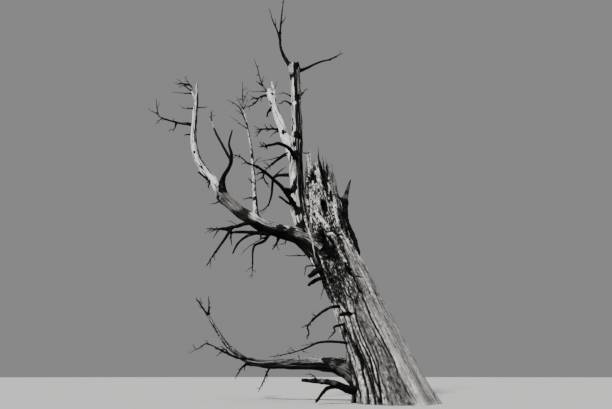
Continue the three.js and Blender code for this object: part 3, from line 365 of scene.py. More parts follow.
# Single twigs on the boughs: what each grows from, its radius, how far back in Y its two ends are in metres,
# and its route in pixels of the photo
TWIG_READINGS = [
    ("main_stem", 29, (-0.15, -0.1), [(299, 97.5), (303, 93), (305, 90), (308, 89)]),
    ("main_stem", 22, (-0.15, -0.3), [(292, 97.5), (287, 94), (283, 93), (278, 94)]),
    ("main_stem", 32, (-0.15, -0.35), [(291, 105), (285, 101), (281, 103), (278, 104)]),
    ("left_leader", 20, (-0.83, -0.9), [(191, 124), (186, 122.5), (181.5, 122.5)]),
    ("leader_side_twigs", 20, (-0.9033, -0.95), [(174, 129), (170, 130), (169, 132)]),
    ("left_leader", 20, (-0.83, -0.9), [(190, 134.5), (186, 134.5), (184, 136)]),
    ("left_leader", 16, (-0.87, -1.0), [(193, 108.5), (187, 108.5), (183, 107.5), (179, 105)]),
    ("left_leader", 16, (-0.87, -0.75), [(197, 107.5), (203, 107.5), (208, 107)]),
    ("leader_top_twigs", 16, (-0.9, -1.0), [(192, 93.5), (182, 93), (171, 92)]),
    ("leader_top_twigs", 14, (-0.93, -0.97), [(186, 85.5), (183, 84), (180, 81), (177, 79)]),
    ("left_leader", 32, (-0.75, -0.85), [(212, 180), (209, 184), (208, 188)]),
    ("left_bough", 22, (-0.7, -0.85), [(222, 199), (216, 203), (210, 204)]),
    ("pale_stem", 14, (-0.1, -0.3), [(247, 129), (240, 124), (237, 121), (230, 116)]),
    ("pale_stem_twigs", 15, (-0.02, -0.2), [(244, 110), (240, 103), (236, 97)]),
    ("pale_stem", 21, (-0.34, -0.5), [(254, 197.5), (246, 198.5), (243, 200.5)]),
    ("pale_stem", 21, (-0.3, -0.4), [(253, 183), (248, 178)]),
    ("pale_stem", 14, (-0.22, -0.1), [(253, 165), (257, 160), (262, 157)]),
    ("broken_limb", 16, (0.85, 0.95), [(268, 91), (258, 91.5), (248, 91)]),
    ("broken_limb_high_twigs", 20, (0.87, 0.9), [(262, 85), (256, 81)]),
    ("broken_limb", 16, (0.8, 0.9), [(270, 95), (275, 88), (277, 80)]),
    ("broken_limb_side_twigs", 20, (0.89, 0.93), [(256, 98), (252, 98.5), (248, 103)]),
    ("broken_limb", 23, (0.5, 0.6), [(277, 131.5), (273, 134), (270, 137)]),
    ("broken_limb_low_twigs", 22, (0.7, 0.8), [(261, 129.5), (258, 134), (255, 137)]),
    ("upper_bough", 19, (-0.95, -1.0), [(267, 145.5), (266, 150)]),
    ("crossing_bough", 17, (0.3, 0.5), [(281, 156.5), (270, 159.5), (256, 162)]),
    ("broken_limb", 28, (0.0, 0.2), [(292, 150), (286, 153), (281, 156)]),
    ("diagonal_bough", 22, (-1.05, -1.15), [(264, 172.5), (258, 173.5), (254, 175.5)]),
    ("level_bough", 21, (0.2, 0.0333), [(276, 175), (281, 170), (287, 167)]),
    ("hanging_bough", 30, (-0.8, -0.95), [(229, 230.5), (222, 229.8), (215, 229)]),
    ("hanging_bough", 30, (-0.78, -0.85), [(231, 233), (231, 238), (231.5, 245)]),
    ("hanging_back", 24, (-0.3, -0.2), [(263, 238), (258, 241), (254, 243)]),
    ("hanging_back", 13, (-0.1, -0.2), [(253, 244), (246, 249), (241, 255)]),
    ("hanging_lower", 25, (-0.45, -0.5), [(261, 232), (260.5, 240)]),
    ("left_bough", 46, (-0.2, -0.3), [(278, 239), (276, 245), (272.5, 249.5)]),
    ("left_bough", 22, (-0.25, -0.3), [(277, 244.5), (279, 251)]),
    ("left_bough", 19, (-0.15, -0.3), [(287, 240.5), (284, 243.5), (278, 244.5)]),
    ("left_bough", 23, (-0.1, -0.3), [(307, 250), (305, 255), (302, 255.5), (285, 255.8)]),
    ("hanging_bough", 12, (-0.8, -0.9), [(240, 227), (232, 222), (226, 220)]),
    ("knob", 24, (-0.2, -0.4), [(318, 267.5), (314, 266), (307, 266.5), (305, 271), (304, 276)]),
    ("trunk", 18, (-0.3, -0.5), [(326, 285), (322, 294), (321, 300)]),
    ("trunk", 42, (-0.4, -0.7), [(341, 325), (334, 327), (335, 331), (332, 335), (328, 339)]),
    ("long_branch", 11, (-0.8, -0.85), [(302, 350.5), (309, 353)]),
    ("long_branch", 11, (-0.6, -0.5), [(318, 343), (300, 346)]),
    ("trunk_branch", 11, (-0.72, -0.8), [(316, 316), (311, 313)]),
    ("low_tip_twigs", 12, (0.5, 0.45), [(226, 350), (215, 348.5)]),
    ("low_tip_twigs", 12, (0.47, 0.4), [(222, 352), (216, 356.5)]),
    ("low_rise", 30, (1.06, 1.1), [(209, 314), (209, 305), (208.5, 296)]),
    ("low_rise", 34, (0.62, 0.5), [(247, 364), (242, 367.5), (239, 372), (235, 379)]),
    ("low_stub", 16, (-0.7, -0.75), [(318, 381), (312, 375), (305, 374)]),
    ("low_bough", 18, (0.35, 0.3), [(302, 363), (298, 355)]),
    ("trunk", 14, (0.1, 0.1), [(303, 153), (302, 146)]),
]
TWIGS = seen_routes(TWIG_READINGS)
SINGLE_TWIG_SIDES = 2           # finer twigs on each of these

# Broken stubs, as the single twigs above. One at the trunk's foot and the pale ones have their routes in
# centimetres
STUB_READINGS = [
    ("main_stem", 39, (-0.1, -0.35), [(293, 206), (288, 203), (284, 200), (280, 197)]),
    ("main_stem", 67, (-0.1, -0.2), [(292, 192), (287, 189.5)]),
    ("left_leader", 36, (-0.72, -0.95), [(212, 182), (203, 175.5), (199, 172.5)]),
    ("broken_limb", 40, (0.72, 0.8), [(272, 108), (268.5, 112), (267, 116)]),
    ("trunk", 60, (-0.25, -0.45), [(324, 277), (314, 281), (310, 284)]),
    ("horn", 67, (0.05, 0.0), [(345, 203), (341, 200), (338, 197)]),
]
STUBS = seen_routes(STUB_READINGS)
STUBS.insert(5, ("trunk", 52, [(-103, -30, 23), (-134, -45, 33), (-158, -55, 30), (-179, -65, 9)]))
PALE_STUBS = [                  # of bare wood
    ("pale_stem", 39, [(-333, -30, 459), (-333, -29, 481), (-337, -28, 505)]),
    ("broken_limb", 48, [(-305, 80, 874), (-306, 85, 909), (-315, 90, 950)]),
]
DARK_RIM = -0.3                 # radians: where the splinters of the rim are dark
SHARE_STEP = 0.01               # between the two places that a stem's direction is taken from

TRUNK_LINE = np.array(TRUNK_LINE) * MM
LIMBS = {}
for limb, (wood, parents, broken_length, limb_knees) in LIMB_ROWS.items():
    LIMBS[limb] = (wood, parents, broken_length * MM, np.array(limb_knees) * MM)
STEMS = {mass: np.array(row[6]) * MM for mass, row in MASS_ROWS.items()}


# Noise

FAR = 9.0                       # more than any distance that is looked for
FINE_STEPS = 400                # along a curve where lengths are measured
PLATE_GAP = 0.3                 # between two plates of bark, against a plate
SLAB_WANDER, SLAB_WANDER_SIZE = 0.8, (0.4, 1.3)   # how far slabs bend, and how wide and long a bend is
SLAB_START, SLAB_POINT, SLAB_SEAM = 9, 0.6, 0.1   # how unlike and pointed their ends are, the seam's width
# Painted shade in hollows of the relief and painted highlight where it stands out: its strength, and the most
# either way
CAVITY_SHADE, CAVITY_SHADE_LIMITS = 0.4, (-0.6, 0.16)   # how much darker a hollow is, and the most either way

random_table = np.random.default_rng(11)
SHUFFLE = random_table.permutation(256)
GRADIENTS = random_table.normal(size=(256, 3))
GRADIENTS /= np.linalg.norm(GRADIENTS, axis=1, keepdims=True)
JITTER = random_table.random((256, 3))
LEVELS = random_table.random(256)
SEED_STEP = np.array([17.13, 31.71, 47.93])


def hashed(x, y=0, z=0):
    """A place in the tables above for whole numbers x, y, z."""
    return SHUFFLE[(SHUFFLE[(SHUFFLE[x & 255] + y) & 255] + z) & 255]


def noise(points):
    """Smooth noise from about -1 to 1 at an array of points."""
    shape = points.shape[:-1]
    points = points.reshape(-1, 3)
    cell = np.floor(points).astype(np.int64)
    inside = points - cell
    fade = inside ** 3 * (inside * (6 * inside - 15) + 10)
    total = np.zeros(len(points))
    for corner in product((0, 1), repeat=3):
        index = hashed(*(cell + corner).T)
        height = np.einsum("ij,ij->i", inside - corner, GRADIENTS[index])
        weight = np.prod(np.where(corner, fade, 1 - fade), axis=1)
        total += weight * height
    return (1.7 * total).reshape(shape)


def grain_noise(grain, around, along, seed):
    """Noise whose lumps are this wide around a limb and this long along it, in metres."""
    return noise(grain / (around, around, along) + seed * SEED_STEP)


def rough_noise(grain, around, along, seed, octaves=3):
    """Several sizes of noise, each half as large and half as deep as the last."""
    total = 0
    for octave in range(octaves):
        size = 0.5 ** octave
        total = total + size * grain_noise(grain, around * size, along * size, seed + 5 * octave)
    return total


def cracks(grain, around, along, width, seed):
    """1 in the middle of the long cracks that run where noise crosses nought, and 0 beside them."""
    return np.clip(1 - np.abs(grain_noise(grain, around, along, seed)) / width, 0, 1)


def plates(grain, around, along, seed):
    """Plates of bark: 0 at the gaps between them and 1 inside, and each plate's own level, 0 to 1."""
    shape = grain.shape[:-1]
    points = (grain / (around, around, along) + seed * SEED_STEP).reshape(-1, 3)
    cell = np.floor(points).astype(np.int64)
    nearest = np.full(len(points), FAR)
    second = nearest.copy()
    level = np.zeros(len(points))
    for offset in product((-1, 0, 1), repeat=3):
        home = cell + offset
        index = hashed(*home.T)
        gap = np.linalg.norm(points - home - JITTER[index], axis=1)
        closer = gap < nearest
        second = np.where(closer, nearest, np.minimum(second, gap))
        level = np.where(closer, LEVELS[index], level)
        nearest = np.where(closer, gap, nearest)
    inside = np.clip((second - nearest) / PLATE_GAP, 0, 1)
    return inside.reshape(shape), level.reshape(shape)


def slabs(angle, length, grain, count, end, seed):
    """Long slabs of torn wood side by side: the level of each, -1 to 1, and 1 at the seams between them."""
    place = angle / TURN * count + SLAB_WANDER * grain_noise(grain, *SLAB_WANDER_SIZE, seed)
    strip = np.floor(place).astype(np.int64)
    across = place - strip
    strip = strip % count
    run = length / end + SLAB_START * LEVELS[hashed(strip, seed)] + SLAB_POINT * np.abs(across - 0.5)
    part = np.floor(run).astype(np.int64)
    level = 2 * LEVELS[hashed(strip, part, seed + 3)] - 1
    seam = np.clip(1 - np.minimum(across, 1 - across) / SLAB_SEAM, 0, 1)
    return level, seam


def splinter_tips(angle, count, droop, seed):
    """The ends of splinters side by side round a limb: each its own level, 0 to 1, and lower at its edges."""
    place = angle % TURN / TURN * count
    strip = np.floor(place).astype(int)
    across = np.abs(place - strip - 0.5) * 2
    return LEVELS[hashed(strip % count, seed)] - droop * across ** 2


def ease(low, high, value):
    """0 below low, 1 above high, and smooth between."""
    t = np.clip((value - low) / (high - low), 0, 1)
    return t * t * (3 - 2 * t)


def hump(middle, width, value):
    """1 at the middle, and smoothly down to 0 on both sides of it."""
    return np.exp(-((value - middle) / width) ** 2)


def blurred(grid, reach):
    """A grid that closes on itself sideways, smoothed over this many cells each way."""
    rows = np.pad(grid, ((reach, reach), (0, 0)), mode="edge")
    rows = sum(rows[i:i + len(grid)] for i in range(2 * reach + 1)) / (2 * reach + 1)
    return sum(np.roll(rows, i, axis=1) for i in range(-reach, reach + 1)) / (2 * reach + 1)


def with_painted_cavity_shade(tone, push, reach, depth):
    """The tone with painted shade where the relief is hollow and a painted highlight where it stands out."""
    hollow = (push - blurred(push, reach)) / depth
    return tone + np.clip(CAVITY_SHADE * hollow, *CAVITY_SHADE_LIMITS) * np.clip(0.3 + tone, 0.2, 1)


# Curves and meshes

def along_knees(knees, shares):
    """The points and the radii at shares of the way along knees, on a Catmull-Rom curve."""
    knees = np.asarray(knees, float)
    spans = len(knees) - 1
    padded = np.vstack([2 * knees[0] - knees[1], knees, 2 * knees[-1] - knees[-2]])
    place = np.minimum(np.asarray(shares, float) * spans, spans - 1e-9)
    span = np.floor(place).astype(int)
    t = (place - span)[..., None]
    p0, p1, p2, p3 = (padded[span + i] for i in range(4))
    return p1 + 0.5 * t * (p2 - p0 + t * (2 * p0 - 5 * p1 + 4 * p2 - p3 + t * (3 * (p1 - p2) + p3 - p0)))


def lengths_along(points):
    """How far each point is from the first, along the line through them."""
    steps = np.linalg.norm(np.diff(points, axis=0), axis=1)
    return np.concatenate([[0], np.cumsum(steps)])


def even_shares(knees, count):
    """Shares of the way along knees that are evenly spaced in length."""
    fine = np.linspace(0, 1, FINE_STEPS)
    lengths = lengths_along(along_knees(knees, fine)[:, :3])
    return np.interp(np.linspace(0, lengths[-1], count), lengths, fine)


def unit(vector):
    """The same direction, one long."""
    return vector / np.linalg.norm(vector, axis=-1, keepdims=True)


def carried_rings(middles, angle):
    """Along a curve: its directions, and the ways out at these angles, which twist as little as they can."""
    ahead = unit(np.gradient(middles, axis=0))
    across = np.zeros_like(ahead)
    now = np.array([0.0, 1.0, 0.0])
    for i, way in enumerate(ahead):
        now = unit(now - way * (now @ way))
        across[i] = now
    side = np.cross(ahead, across)
    return ahead, across[:, None] * np.cos(angle)[..., None] + side[:, None] * np.sin(angle)[..., None]


def closed_rings(rings, low_middle, high_middle):
    """A closed mesh from rings of points and the middles of its two ends: points, quads and triangles."""
    rows, around = rings.shape[:2]
    side = np.arange(around)
    nxt = (side + 1) % around
    row = np.arange(rows - 1)[:, None] * around
    quads = np.stack([row + side, row + nxt, row + around + nxt, row + around + side], axis=-1)
    top = (rows - 1) * around
    low = np.stack([np.full(around, rows * around), nxt, side], axis=-1)
    high = np.stack([np.full(around, rows * around + 1), top + side, top + nxt], axis=-1)
    points = np.vstack([rings.reshape(-1, 3), low_middle, high_middle])
    return points, quads.reshape(-1, 4), np.vstack([low, high])


def make_mesh(name, points, quads, triangles, values, material):
    """A new object from arrays, with a named value or vector for each point."""
    mesh = bpy.data.meshes.new(name)
    mesh.vertices.add(len(points))
    mesh.vertices.foreach_set("co", np.ascontiguousarray(points, np.float32).ravel())
    corners = np.concatenate([quads.ravel(), triangles.ravel()]).astype(np.int32)
    mesh.loops.add(len(corners))
    mesh.loops.foreach_set("vertex_index", corners)
    quad_starts = np.arange(len(quads)) * 4
    triangle_starts = 4 * len(quads) + np.arange(len(triangles)) * 3
    starts = np.concatenate([quad_starts, triangle_starts]).astype(np.int32)
    mesh.polygons.add(len(starts))
    mesh.polygons.foreach_set("loop_start", starts)
    mesh.polygons.foreach_set("use_smooth", np.ones(len(starts), bool))
    for key, value in values.items():
        kind, field = ("FLOAT_VECTOR", "vector") if value.ndim == 2 else ("FLOAT", "value")
        attribute = mesh.attributes.new(key, kind, "POINT")
        attribute.data.foreach_set(field, np.ascontiguousarray(value, np.float32).ravel())
    mesh.update(calc_edges=True)
    mesh.validate()
    mesh.materials.append(material)
    piece = bpy.data.objects.new(name, mesh)
    bpy.context.scene.collection.objects.link(piece)
    return piece


def keep(piece, slot, *nodes):
    """The piece rides on the tree and stands for CAD nodes. Its slot is not used."""
    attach(piece, "root")
    if nodes:
        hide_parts(*nodes)


# Materials

# The wood's colour at each tone
TONE_COLOURS = [
    (0.08, (0.0025, 0.0024, 0.0023)), (0.28, (0.022, 0.0215, 0.021)), (0.5, (0.13, 0.128, 0.124)),
    (0.95, (0.78, 0.77, 0.75)),
]
# Width and length of the fibres, width and length of the stains, and height of the fibres, in metres
WOODS = {
    "trunk_bark": (0.012, 0.16, 0.1, 0.5, 0.004),
    "pale_wood": (0.007, 0.2, 0.08, 0.6, 0.003),
    "dark_wood": (0.008, 0.06, 0.05, 0.2, 0.003),
    "twig_wood": (0.006, 0.06, 0.04, 0.2, 0.001),
}
FIBRE_SIZES, STAIN_SIZES = 3.0, 4.0   # how many finer sizes of noise are in each
FIBRE_WEIGHT = 0.6              # of the fibres against the stains
VARIATION, VARIATION_LEVEL = 0.5, -0.4   # how strongly both change the tone, and what brings their mean to 0
LEAST_VARIATION = 0.25          # how much of that the darkest wood has
ROUGHNESS = (0.95, 0.75)        # between the fibres and on them
SHINE = 0.06
FIBRE_STRENGTH = 0.9


def add_node(material, kind, **sockets):
    """A new shader node with these values at its inputs."""
    node = material.node_tree.nodes.new(kind)
    for key, value in sockets.items():
        node.inputs[key.replace("_", " ")].default_value = value
    return node


def math_node(material, operation, first, second):
    """A sum or a product of two sockets, or of a socket and a number."""
    node = material.node_tree.nodes.new("ShaderNodeMath")
    node.operation = operation
    for index, value in enumerate((first, second)):
        if isinstance(value, bpy.types.NodeSocket):
            material.node_tree.links.new(value, node.inputs[index])
        else:
            node.inputs[index].default_value = value
    return node.outputs[0]


def point_value(material, name, output):
    """What the mesh says at each point under this name."""
    node = add_node(material, "ShaderNodeAttribute")
    node.attribute_name = name
    return node.outputs[output]


def stretched_noise(material, place, around, along, detail):
    """A noise texture whose lumps have this size across the grain and along it."""
    mapping = add_node(material, "ShaderNodeMapping", Scale=(1 / around, 1 / around, 1 / along))
    texture = add_node(material, "ShaderNodeTexNoise", Scale=1.0, Detail=detail, Roughness=0.6)
    material.node_tree.links.new(place, mapping.inputs["Vector"])
    material.node_tree.links.new(mapping.outputs["Vector"], texture.inputs["Vector"])
    return texture.outputs["Fac"]


def varied_tone(material, tone, fibres, stains):
    """The tone of each point with the fibres and the stains in it, less so where it is dark."""
    both = math_node(material, "ADD", math_node(material, "MULTIPLY", fibres, FIBRE_WEIGHT), stains)
    change = math_node(material, "ADD", math_node(material, "MULTIPLY", both, VARIATION), VARIATION_LEVEL)
    depth = math_node(material, "ADD", tone, LEAST_VARIATION)
    return math_node(material, "ADD", tone, math_node(material, "MULTIPLY", change, depth))


def wood_material(name):
    """Weathered wood: each point's tone sets it from black to pale, and fine fibres and stains vary that."""
    fibre_width, fibre_length, stain_width, stain_length, height = WOODS[name]
    material = bpy.data.materials.new(name)
    material.use_nodes = True
    link = material.node_tree.links.new
    shader = material.node_tree.nodes["Principled BSDF"]
    place = point_value(material, "grain", "Vector")
    fibres = stretched_noise(material, place, fibre_width, fibre_length, FIBRE_SIZES)
    stains = stretched_noise(material, place, stain_width, stain_length, STAIN_SIZES)
    ramp = add_node(material, "ShaderNodeValToRGB")
    colours = ramp.color_ramp.elements
    for level, colour in TONE_COLOURS:
        colours.new(level).color = (*colour, 1)
    colours.remove(colours[-1])
    colours.remove(colours[0])
    link(varied_tone(material, point_value(material, "tone", "Fac"), fibres, stains), ramp.inputs["Fac"])
    link(ramp.outputs["Color"], shader.inputs["Base Color"])
    rough = add_node(material, "ShaderNodeMapRange", To_Min=ROUGHNESS[0], To_Max=ROUGHNESS[1])
    link(fibres, rough.inputs["Value"])
    link(rough.outputs["Result"], shader.inputs["Roughness"])
    shader.inputs["Specular IOR Level"].default_value = SHINE
    relief = add_node(material, "ShaderNodeBump", Strength=FIBRE_STRENGTH, Distance=height)
    link(fibres, relief.inputs["Height"])
    link(relief.outputs["Normal"], shader.inputs["Normal"])
    return material


# Trunk

TRUNK_AROUND = 320
TRUNK_ROWS = 280
CRATER_ROWS = 24
TRUNK_GRAIN = 0.55              # metres: the radius at which the grain is measured
FLARE_POWER = 10                # how narrow each root flare is
FORM_SEAM = 0.07                # half the width of a seam, against its slab's
RELIEF_RADIUS = 450             # millimetres: on a slimmer trunk than this the relief is shallower too
OVAL_EDGE = (0.6, 1.15)         # where a hole or a patch starts to end and has ended, against its oval
# The next two lines set the painted shade inside a hole
SHADE_EDGE = (0.72, 1.02)       # the same for the dark inside a hole
LEAST_SHADE, SHADE_DEPTH = 0.45, 150   # how dark the shallowest hole is, and the depth that adds 1 to that
RIM_TURN = 0.35                 # radians: the rim is lowest this far clockwise of +X, and highest opposite
RIM_WAVES, RIM_START = 3.5, 0.8   # humps along the rim: how many for each half turn, and where they start
RIM_TIPS = [(19, 0.016, 5), (47, 0.011, 8), (90, 0.006, 12)]   # splinters round it, their height and a seed
RIM_DROOP = 0.8
TAPER_POWER = 6                 # how near the top the rows of points draw together to follow the rim
CUT_TONE = 0.1                  # in the middle of the flat cut, and of the foot of each limb
# Painted cavity shade on the trunk: how many cells wide its hollows are, and how deep in metres
TRUNK_CAVITY_SHADE = (3, 0.016)       # how many cells wide its cavities are, and how deep in metres
CRATER_SLIVERS = (60, 0.4, 9)   # count, length and seed
CRATER_NOISE = (0.12, 0.3, 90)  # width, length and seed

# Noise on the trunk: the width of a lump round it and its length along it, in metres, and a seed
SMOOTH_LAYERS = {
    "low_left": (0.3, 0.5, 44), "behind": (0.3, 0.5, 45), "bare_waves": (0.16, 2.2, 53),
    "hole_edge": (0.05, 0.12, 60), "hole_outline": (0.13, 0.3, 61), "waves": (0.4, 1.6, 64),
    "hole_wall": (0.04, 0.1, 65),
}
ROUGH_LAYERS = {
    "lip": (0.14, 0.6, 41), "strip_left": (0.25, 0.6, 42), "strip_right": (0.3, 0.5, 43),
    "low": (0.1, 0.2, 46), "slab_edge": (0.2, 0.6, 47), "lumps": (0.08, 0.2, 50),
    "blotch": (0.16, 0.34, 51), "fibre": (0.045, 1.1, 55), "streak": (0.03, 0.3, 59),
    "ridge_tops": (0.04, 0.42, 63), "speckle": (0.026, 0.055, 66), "mottle": (0.03, 0.06, 67),
    "ragged": (0.09, 0.3, 68), "pits": (0.03, 0.055, 69), "furrow_bends": (0.12, 0.15, 71),
    "wall_spots": (0.05, 0.09, 74), "strip_edge": (0.3, 0.4, 75),
}
# Cracks have a width before the seed. Slivers have their count round the trunk, their length and a seed
CRACK_LAYERS = {
    "split": (0.12, 1.9, 0.05, 52), "fissure": (0.1, 0.8, 0.3, 58), "furrow": (0.12, 1.1, 0.2, 62),
}
PLATE_LAYERS = {"block": (0.034, 0.075, 56), "chunk": (0.15, 0.34, 57), "fleck": (0.027, 0.045, 72)}
SLIVER_LAYERS = {"sliver": (84, 0.38, 6), "strand": (150, 0.9, 9)}
# Layers of which only the high places count: where each starts and is full
SPOTS = {"pits": (-0.1, 0.5), "streak": (0.1, 0.5), "speckle": (0.05, 0.6)}

# Kinds of surface: plain tone, then what each layer adds to the relief, in millimetres, and to the tone
SURFACES = {
    "torn": (
        0.5, {"sliver": 13, "sliver_seam": -15, "strand": 5, "strand_seam": -6, "lumps": 18, "pits": -12},
        {"even": 0.14, "pits": -0.6, "sliver": 0.12, "sliver_seam": -0.4, "strand": 0.08,
         "strand_seam": -0.25, "blotch": 0.2}),
    "strip": (
        0.54, {"bare_waves": 6, "fibre": 3, "split": -8},
        {"fibre": 0.07, "blotch": 0.12, "mottle": 0.17, "split": -0.28}),
    "bark": (
        0.14, {"even": -20, "block": 15, "block_level": 14, "chunk": 26, "chunk_level": 30, "fissure": -26},
        {"fleck": 0.24, "scrap": 0.16, "streak": 0.14, "speckle": 0.3, "fissure": -0.1, "blotch": 0.08,
         "mottle": 0.06}),
    "ridged": (
        0.62, {"even": 24, "furrow": -55, "ridge_tops": 11, "block": 6},
        {"even": -0.2, "furrow": -0.48, "ridge_tops": 0.12, "blotch": 0.12, "mottle": 0.2, "block": 0.2}),
}
CALM_RELIEF, CALM_DETAIL = 0.38, 0.5   # of the bark low in the middle, against the rest of the bark
SURFACES["low_bark"] = (
    0.34, {name: CALM_RELIEF * weight for name, weight in SURFACES["bark"][1].items()},
    {name: CALM_DETAIL * weight for name, weight in SURFACES["bark"][2].items()})
SURFACES["low_bark"][2].update(fibre=0.08, mottle=0.06)
SURFACES["back"] = (0.48, *SURFACES["ridged"][1:])
# Borders between them: where each starts and is full, and how far its own layer of noise shifts it
BORDERS = {
    "low": (2250, 1950, 140),   # millimetres up
    "low_left": (-110, -118, 4),   # degrees round
    "behind": (40, 60, 6),
}
MIDDLE_BAND = (-118, -110)      # degrees round: low bark is calmer to the right of this
BACK_RIDGES = 0.8               # how much of the bark behind is ridged
LIP_SWING, LIP_SOFTNESS = 110, 22   # how far the lip runs up and down, and half the height that it takes
LEFT_SWING, RIGHT_SWING = 2.5, 9    # degrees that the bare strip's edges wander
LEFT_SOFTNESS, RIGHT_SOFTNESS = 1.2, 2.5
# Lines along the borders: the middle of each past its border, and its width
STRIP_LINE = (-1.3, 1.4)        # degrees
LIP_LINE, LIP_SHADOW = (26, 26), (-30, 26)
LINE_RELIEF = {"waves": 12, "lip_line": 14, "barked": 14, "edge": -16}
LINE_TONE = {"bright_lip": 0.6, "lip_shadow": -0.5, "edge": -0.45}
SLAB_TONE, SLAB_SEAM_TONE, FURROW_TONE = 0.12, -0.4, -0.7
CALM_TONE, CALM_STRIP = 0.42, 0.16   # an even tone for low wood, and what the bare strip adds to it
CALM_LOW, CALM_MIDDLE = 0.2, 0.27   # how much of it low wood takes, and how much more in the middle


def wrapped(angle):
    """An angle brought to within half a turn of nought."""
    return (angle + math.pi) % TURN - math.pi


def scattered(n):
    """A number from 0 to 1 that jumps about from one whole number to the next."""
    far = np.sin(n * 12.9898) * 43758.5453
    return far - np.floor(far)


def plain_reach(radius, height, angle):
    """How far out the trunk is without its shell: its radius, its flutes and its root flares. Millimetres."""
    reach = radius + 0 * angle
    for waves, depth, lean, start in FLUTES:
        reach = reach + radius * depth * np.sin(waves * angle + lean * height + start)
    for degrees, flare in ROOT_FLARES:
        facing = np.maximum(0, np.cos(angle - math.radians(degrees)))
        reach = reach + flare * facing ** FLARE_POWER * np.exp(-height / ROOT_HEIGHT)
    return reach


def slab_push(height, angle, ragged):
    """How far out the slab of torn wood at each point lies, and 1 at the seams between slabs. Millimetres."""
    place = angle / TURN * SLAB_COUNT + SLAB_SWAY * np.sin(height / SLAB_WAVE + 2 * angle) + ragged
    strip = np.floor(place)
    own = strip % SLAB_COUNT
    part = np.floor(height / SLAB_LENGTH + SLAB_COUNT * scattered(own + 1))
    across = place - strip
    seam = np.clip(1 - np.minimum(across, 1 - across) / FORM_SEAM, 0, 1)
    return SLAB_LEVEL * (2 * scattered(own + SLAB_COUNT * part) - 1), seam


def trunk_layers(angle, height, grain):
    """Every layer of noise that the trunk's skin is mixed from, by name."""
    layer = {"even": 1, "furrow_sway": grain_noise(grain * (0, 0, 1), 1, 0.5, 70)}
    for make, rows in ((grain_noise, SMOOTH_LAYERS), (rough_noise, ROUGH_LAYERS), (cracks, CRACK_LAYERS)):
        for name, row in rows.items():
            layer[name] = make(grain, *row)
    for name, row in PLATE_LAYERS.items():
        layer[name], layer[name + "_level"] = plates(grain, *row)
    for name, row in SLIVER_LAYERS.items():
        layer[name], layer[name + "_seam"] = slabs(angle, height * MM, grain, *row)
    for name, (low, high) in SPOTS.items():
        layer[name] = ease(low, high, layer[name])
    layer["furrow"] = layer["furrow"] ** 0.8
    layer["fleck"] = ease(0.66, 0.78, layer["fleck_level"]) * ease(0.2, 0.7, layer["fleck"])
    scrap = ease(0.78, 0.86, layer["chunk_level"]) * ease(0.2, 0.6, layer["chunk"])
    layer["scrap"] = scrap * ease(-0.25, 0.25, layer["fibre"])
    return layer


def mixed(weights, layer):
    """The sum of layers, each with its weight."""
    return sum(weight * layer[name] for name, weight in weights.items())


def off_centre(oval, angle, height, radius):
    """How far each point is from the middle of an oval on the trunk, where 1 is the oval's edge."""
    degrees, middle, half_width, half_height = oval
    across = wrapped(angle - math.radians(degrees)) * radius / half_width
    return np.sqrt(across ** 2 + ((height - middle) / half_height) ** 2)


def trunk_holes(angle, height, radius, layer):
    """How deep the holes go at each point, in millimetres, and how strong the painted shade inside one is, 0
    to 1.
    """
    depth = np.zeros_like(height)
    shade = np.zeros_like(height)
    ragged = mixed({"hole_edge": 0.2, "hole_outline": 0.22}, layer)
    for *oval, deep in HOLES + SMALL_HOLES:
        off = off_centre(oval, angle, height, radius) + ragged
        depth = np.maximum(depth, deep * (1 - ease(*OVAL_EDGE, off)))
        dark = min(1, LEAST_SHADE + deep / SHADE_DEPTH)
        shade = np.maximum(shade, dark * (1 - ease(*SHADE_EDGE, off)))
    return depth, shade


def trunk_furrows(angle, height, radius, layer):
    """How deep the long furrows are at each point, and 1 in the middle of each. Millimetres."""
    depth = np.zeros_like(height)
    line = np.zeros_like(height)
    wander = mixed({"furrow_sway": 45, "furrow_bends": 16}, layer)
    for start, end, low, high, half_width, deep in FURROWS + SMALL_FURROWS:
        share = np.clip((height - low) / (high - low), 0, 1)
        middle = np.radians(start + (end - start) * share)
        bulk = np.sqrt(np.sin(math.pi * np.clip(share, 0.001, 0.999)))
        inside = (share > 0) & (share < 1)
        off = (wrapped(angle - middle) * radius + wander) / half_width
        depth = np.maximum(depth, deep * bulk * hump(0, 1, off) * inside)
        line = np.maximum(line, np.clip(1.2 * bulk - np.abs(off) * 2, 0, 1) * inside)
    return depth, line


def patched(tone, patches, ragged, place):
    """The tone with the patches of a table laid over it."""
    for *oval, target in patches:
        off = off_centre(oval, *place) + ragged
        tone = tone + (1 - ease(*OVAL_EDGE, off)) * (target - tone)
    return tone


def border(name, value, layer):
    """0 on one side of a ragged border and 1 on the other."""
    start, full, swing = BORDERS[name]
    return ease(start, full, value + swing * layer[name])


def surface_shares(degrees, height, layer):
    """The share of each kind of surface at each point, and where the point is from the borders."""
    under_lip = np.interp(degrees, *zip(*LIP)) + LIP_SWING * layer["lip"] - height
    shell = ease(-LIP_SOFTNESS, LIP_SOFTNESS, under_lip)
    strip_heights, lefts, rights = zip(*BARE_STRIP)
    from_left = degrees - np.interp(height, strip_heights, lefts) - LEFT_SWING * layer["strip_left"]
    to_right = np.interp(height, strip_heights, rights) + RIGHT_SWING * layer["strip_right"] - degrees
    strip = ease(0, LEFT_SOFTNESS, from_left) * ease(0, RIGHT_SOFTNESS, to_right) * shell
    low = border("low", height, layer)
    behind = border("behind", degrees, layer)
    ridges = np.maximum(border("low_left", degrees, layer) * low, BACK_RIDGES * behind)
    barked = shell * (1 - strip)
    ridged = barked * ridges
    middle_band = low * ease(*MIDDLE_BAND, degrees)
    share = {"torn": 1 - shell, "strip": strip, "ridged": ridged * (1 - behind), "back": ridged * behind}
    share["bark"] = (barked - ridged) * (1 - middle_band)
    share["low_bark"] = (barked - ridged) * middle_band
    return share, under_lip, from_left, low, middle_band


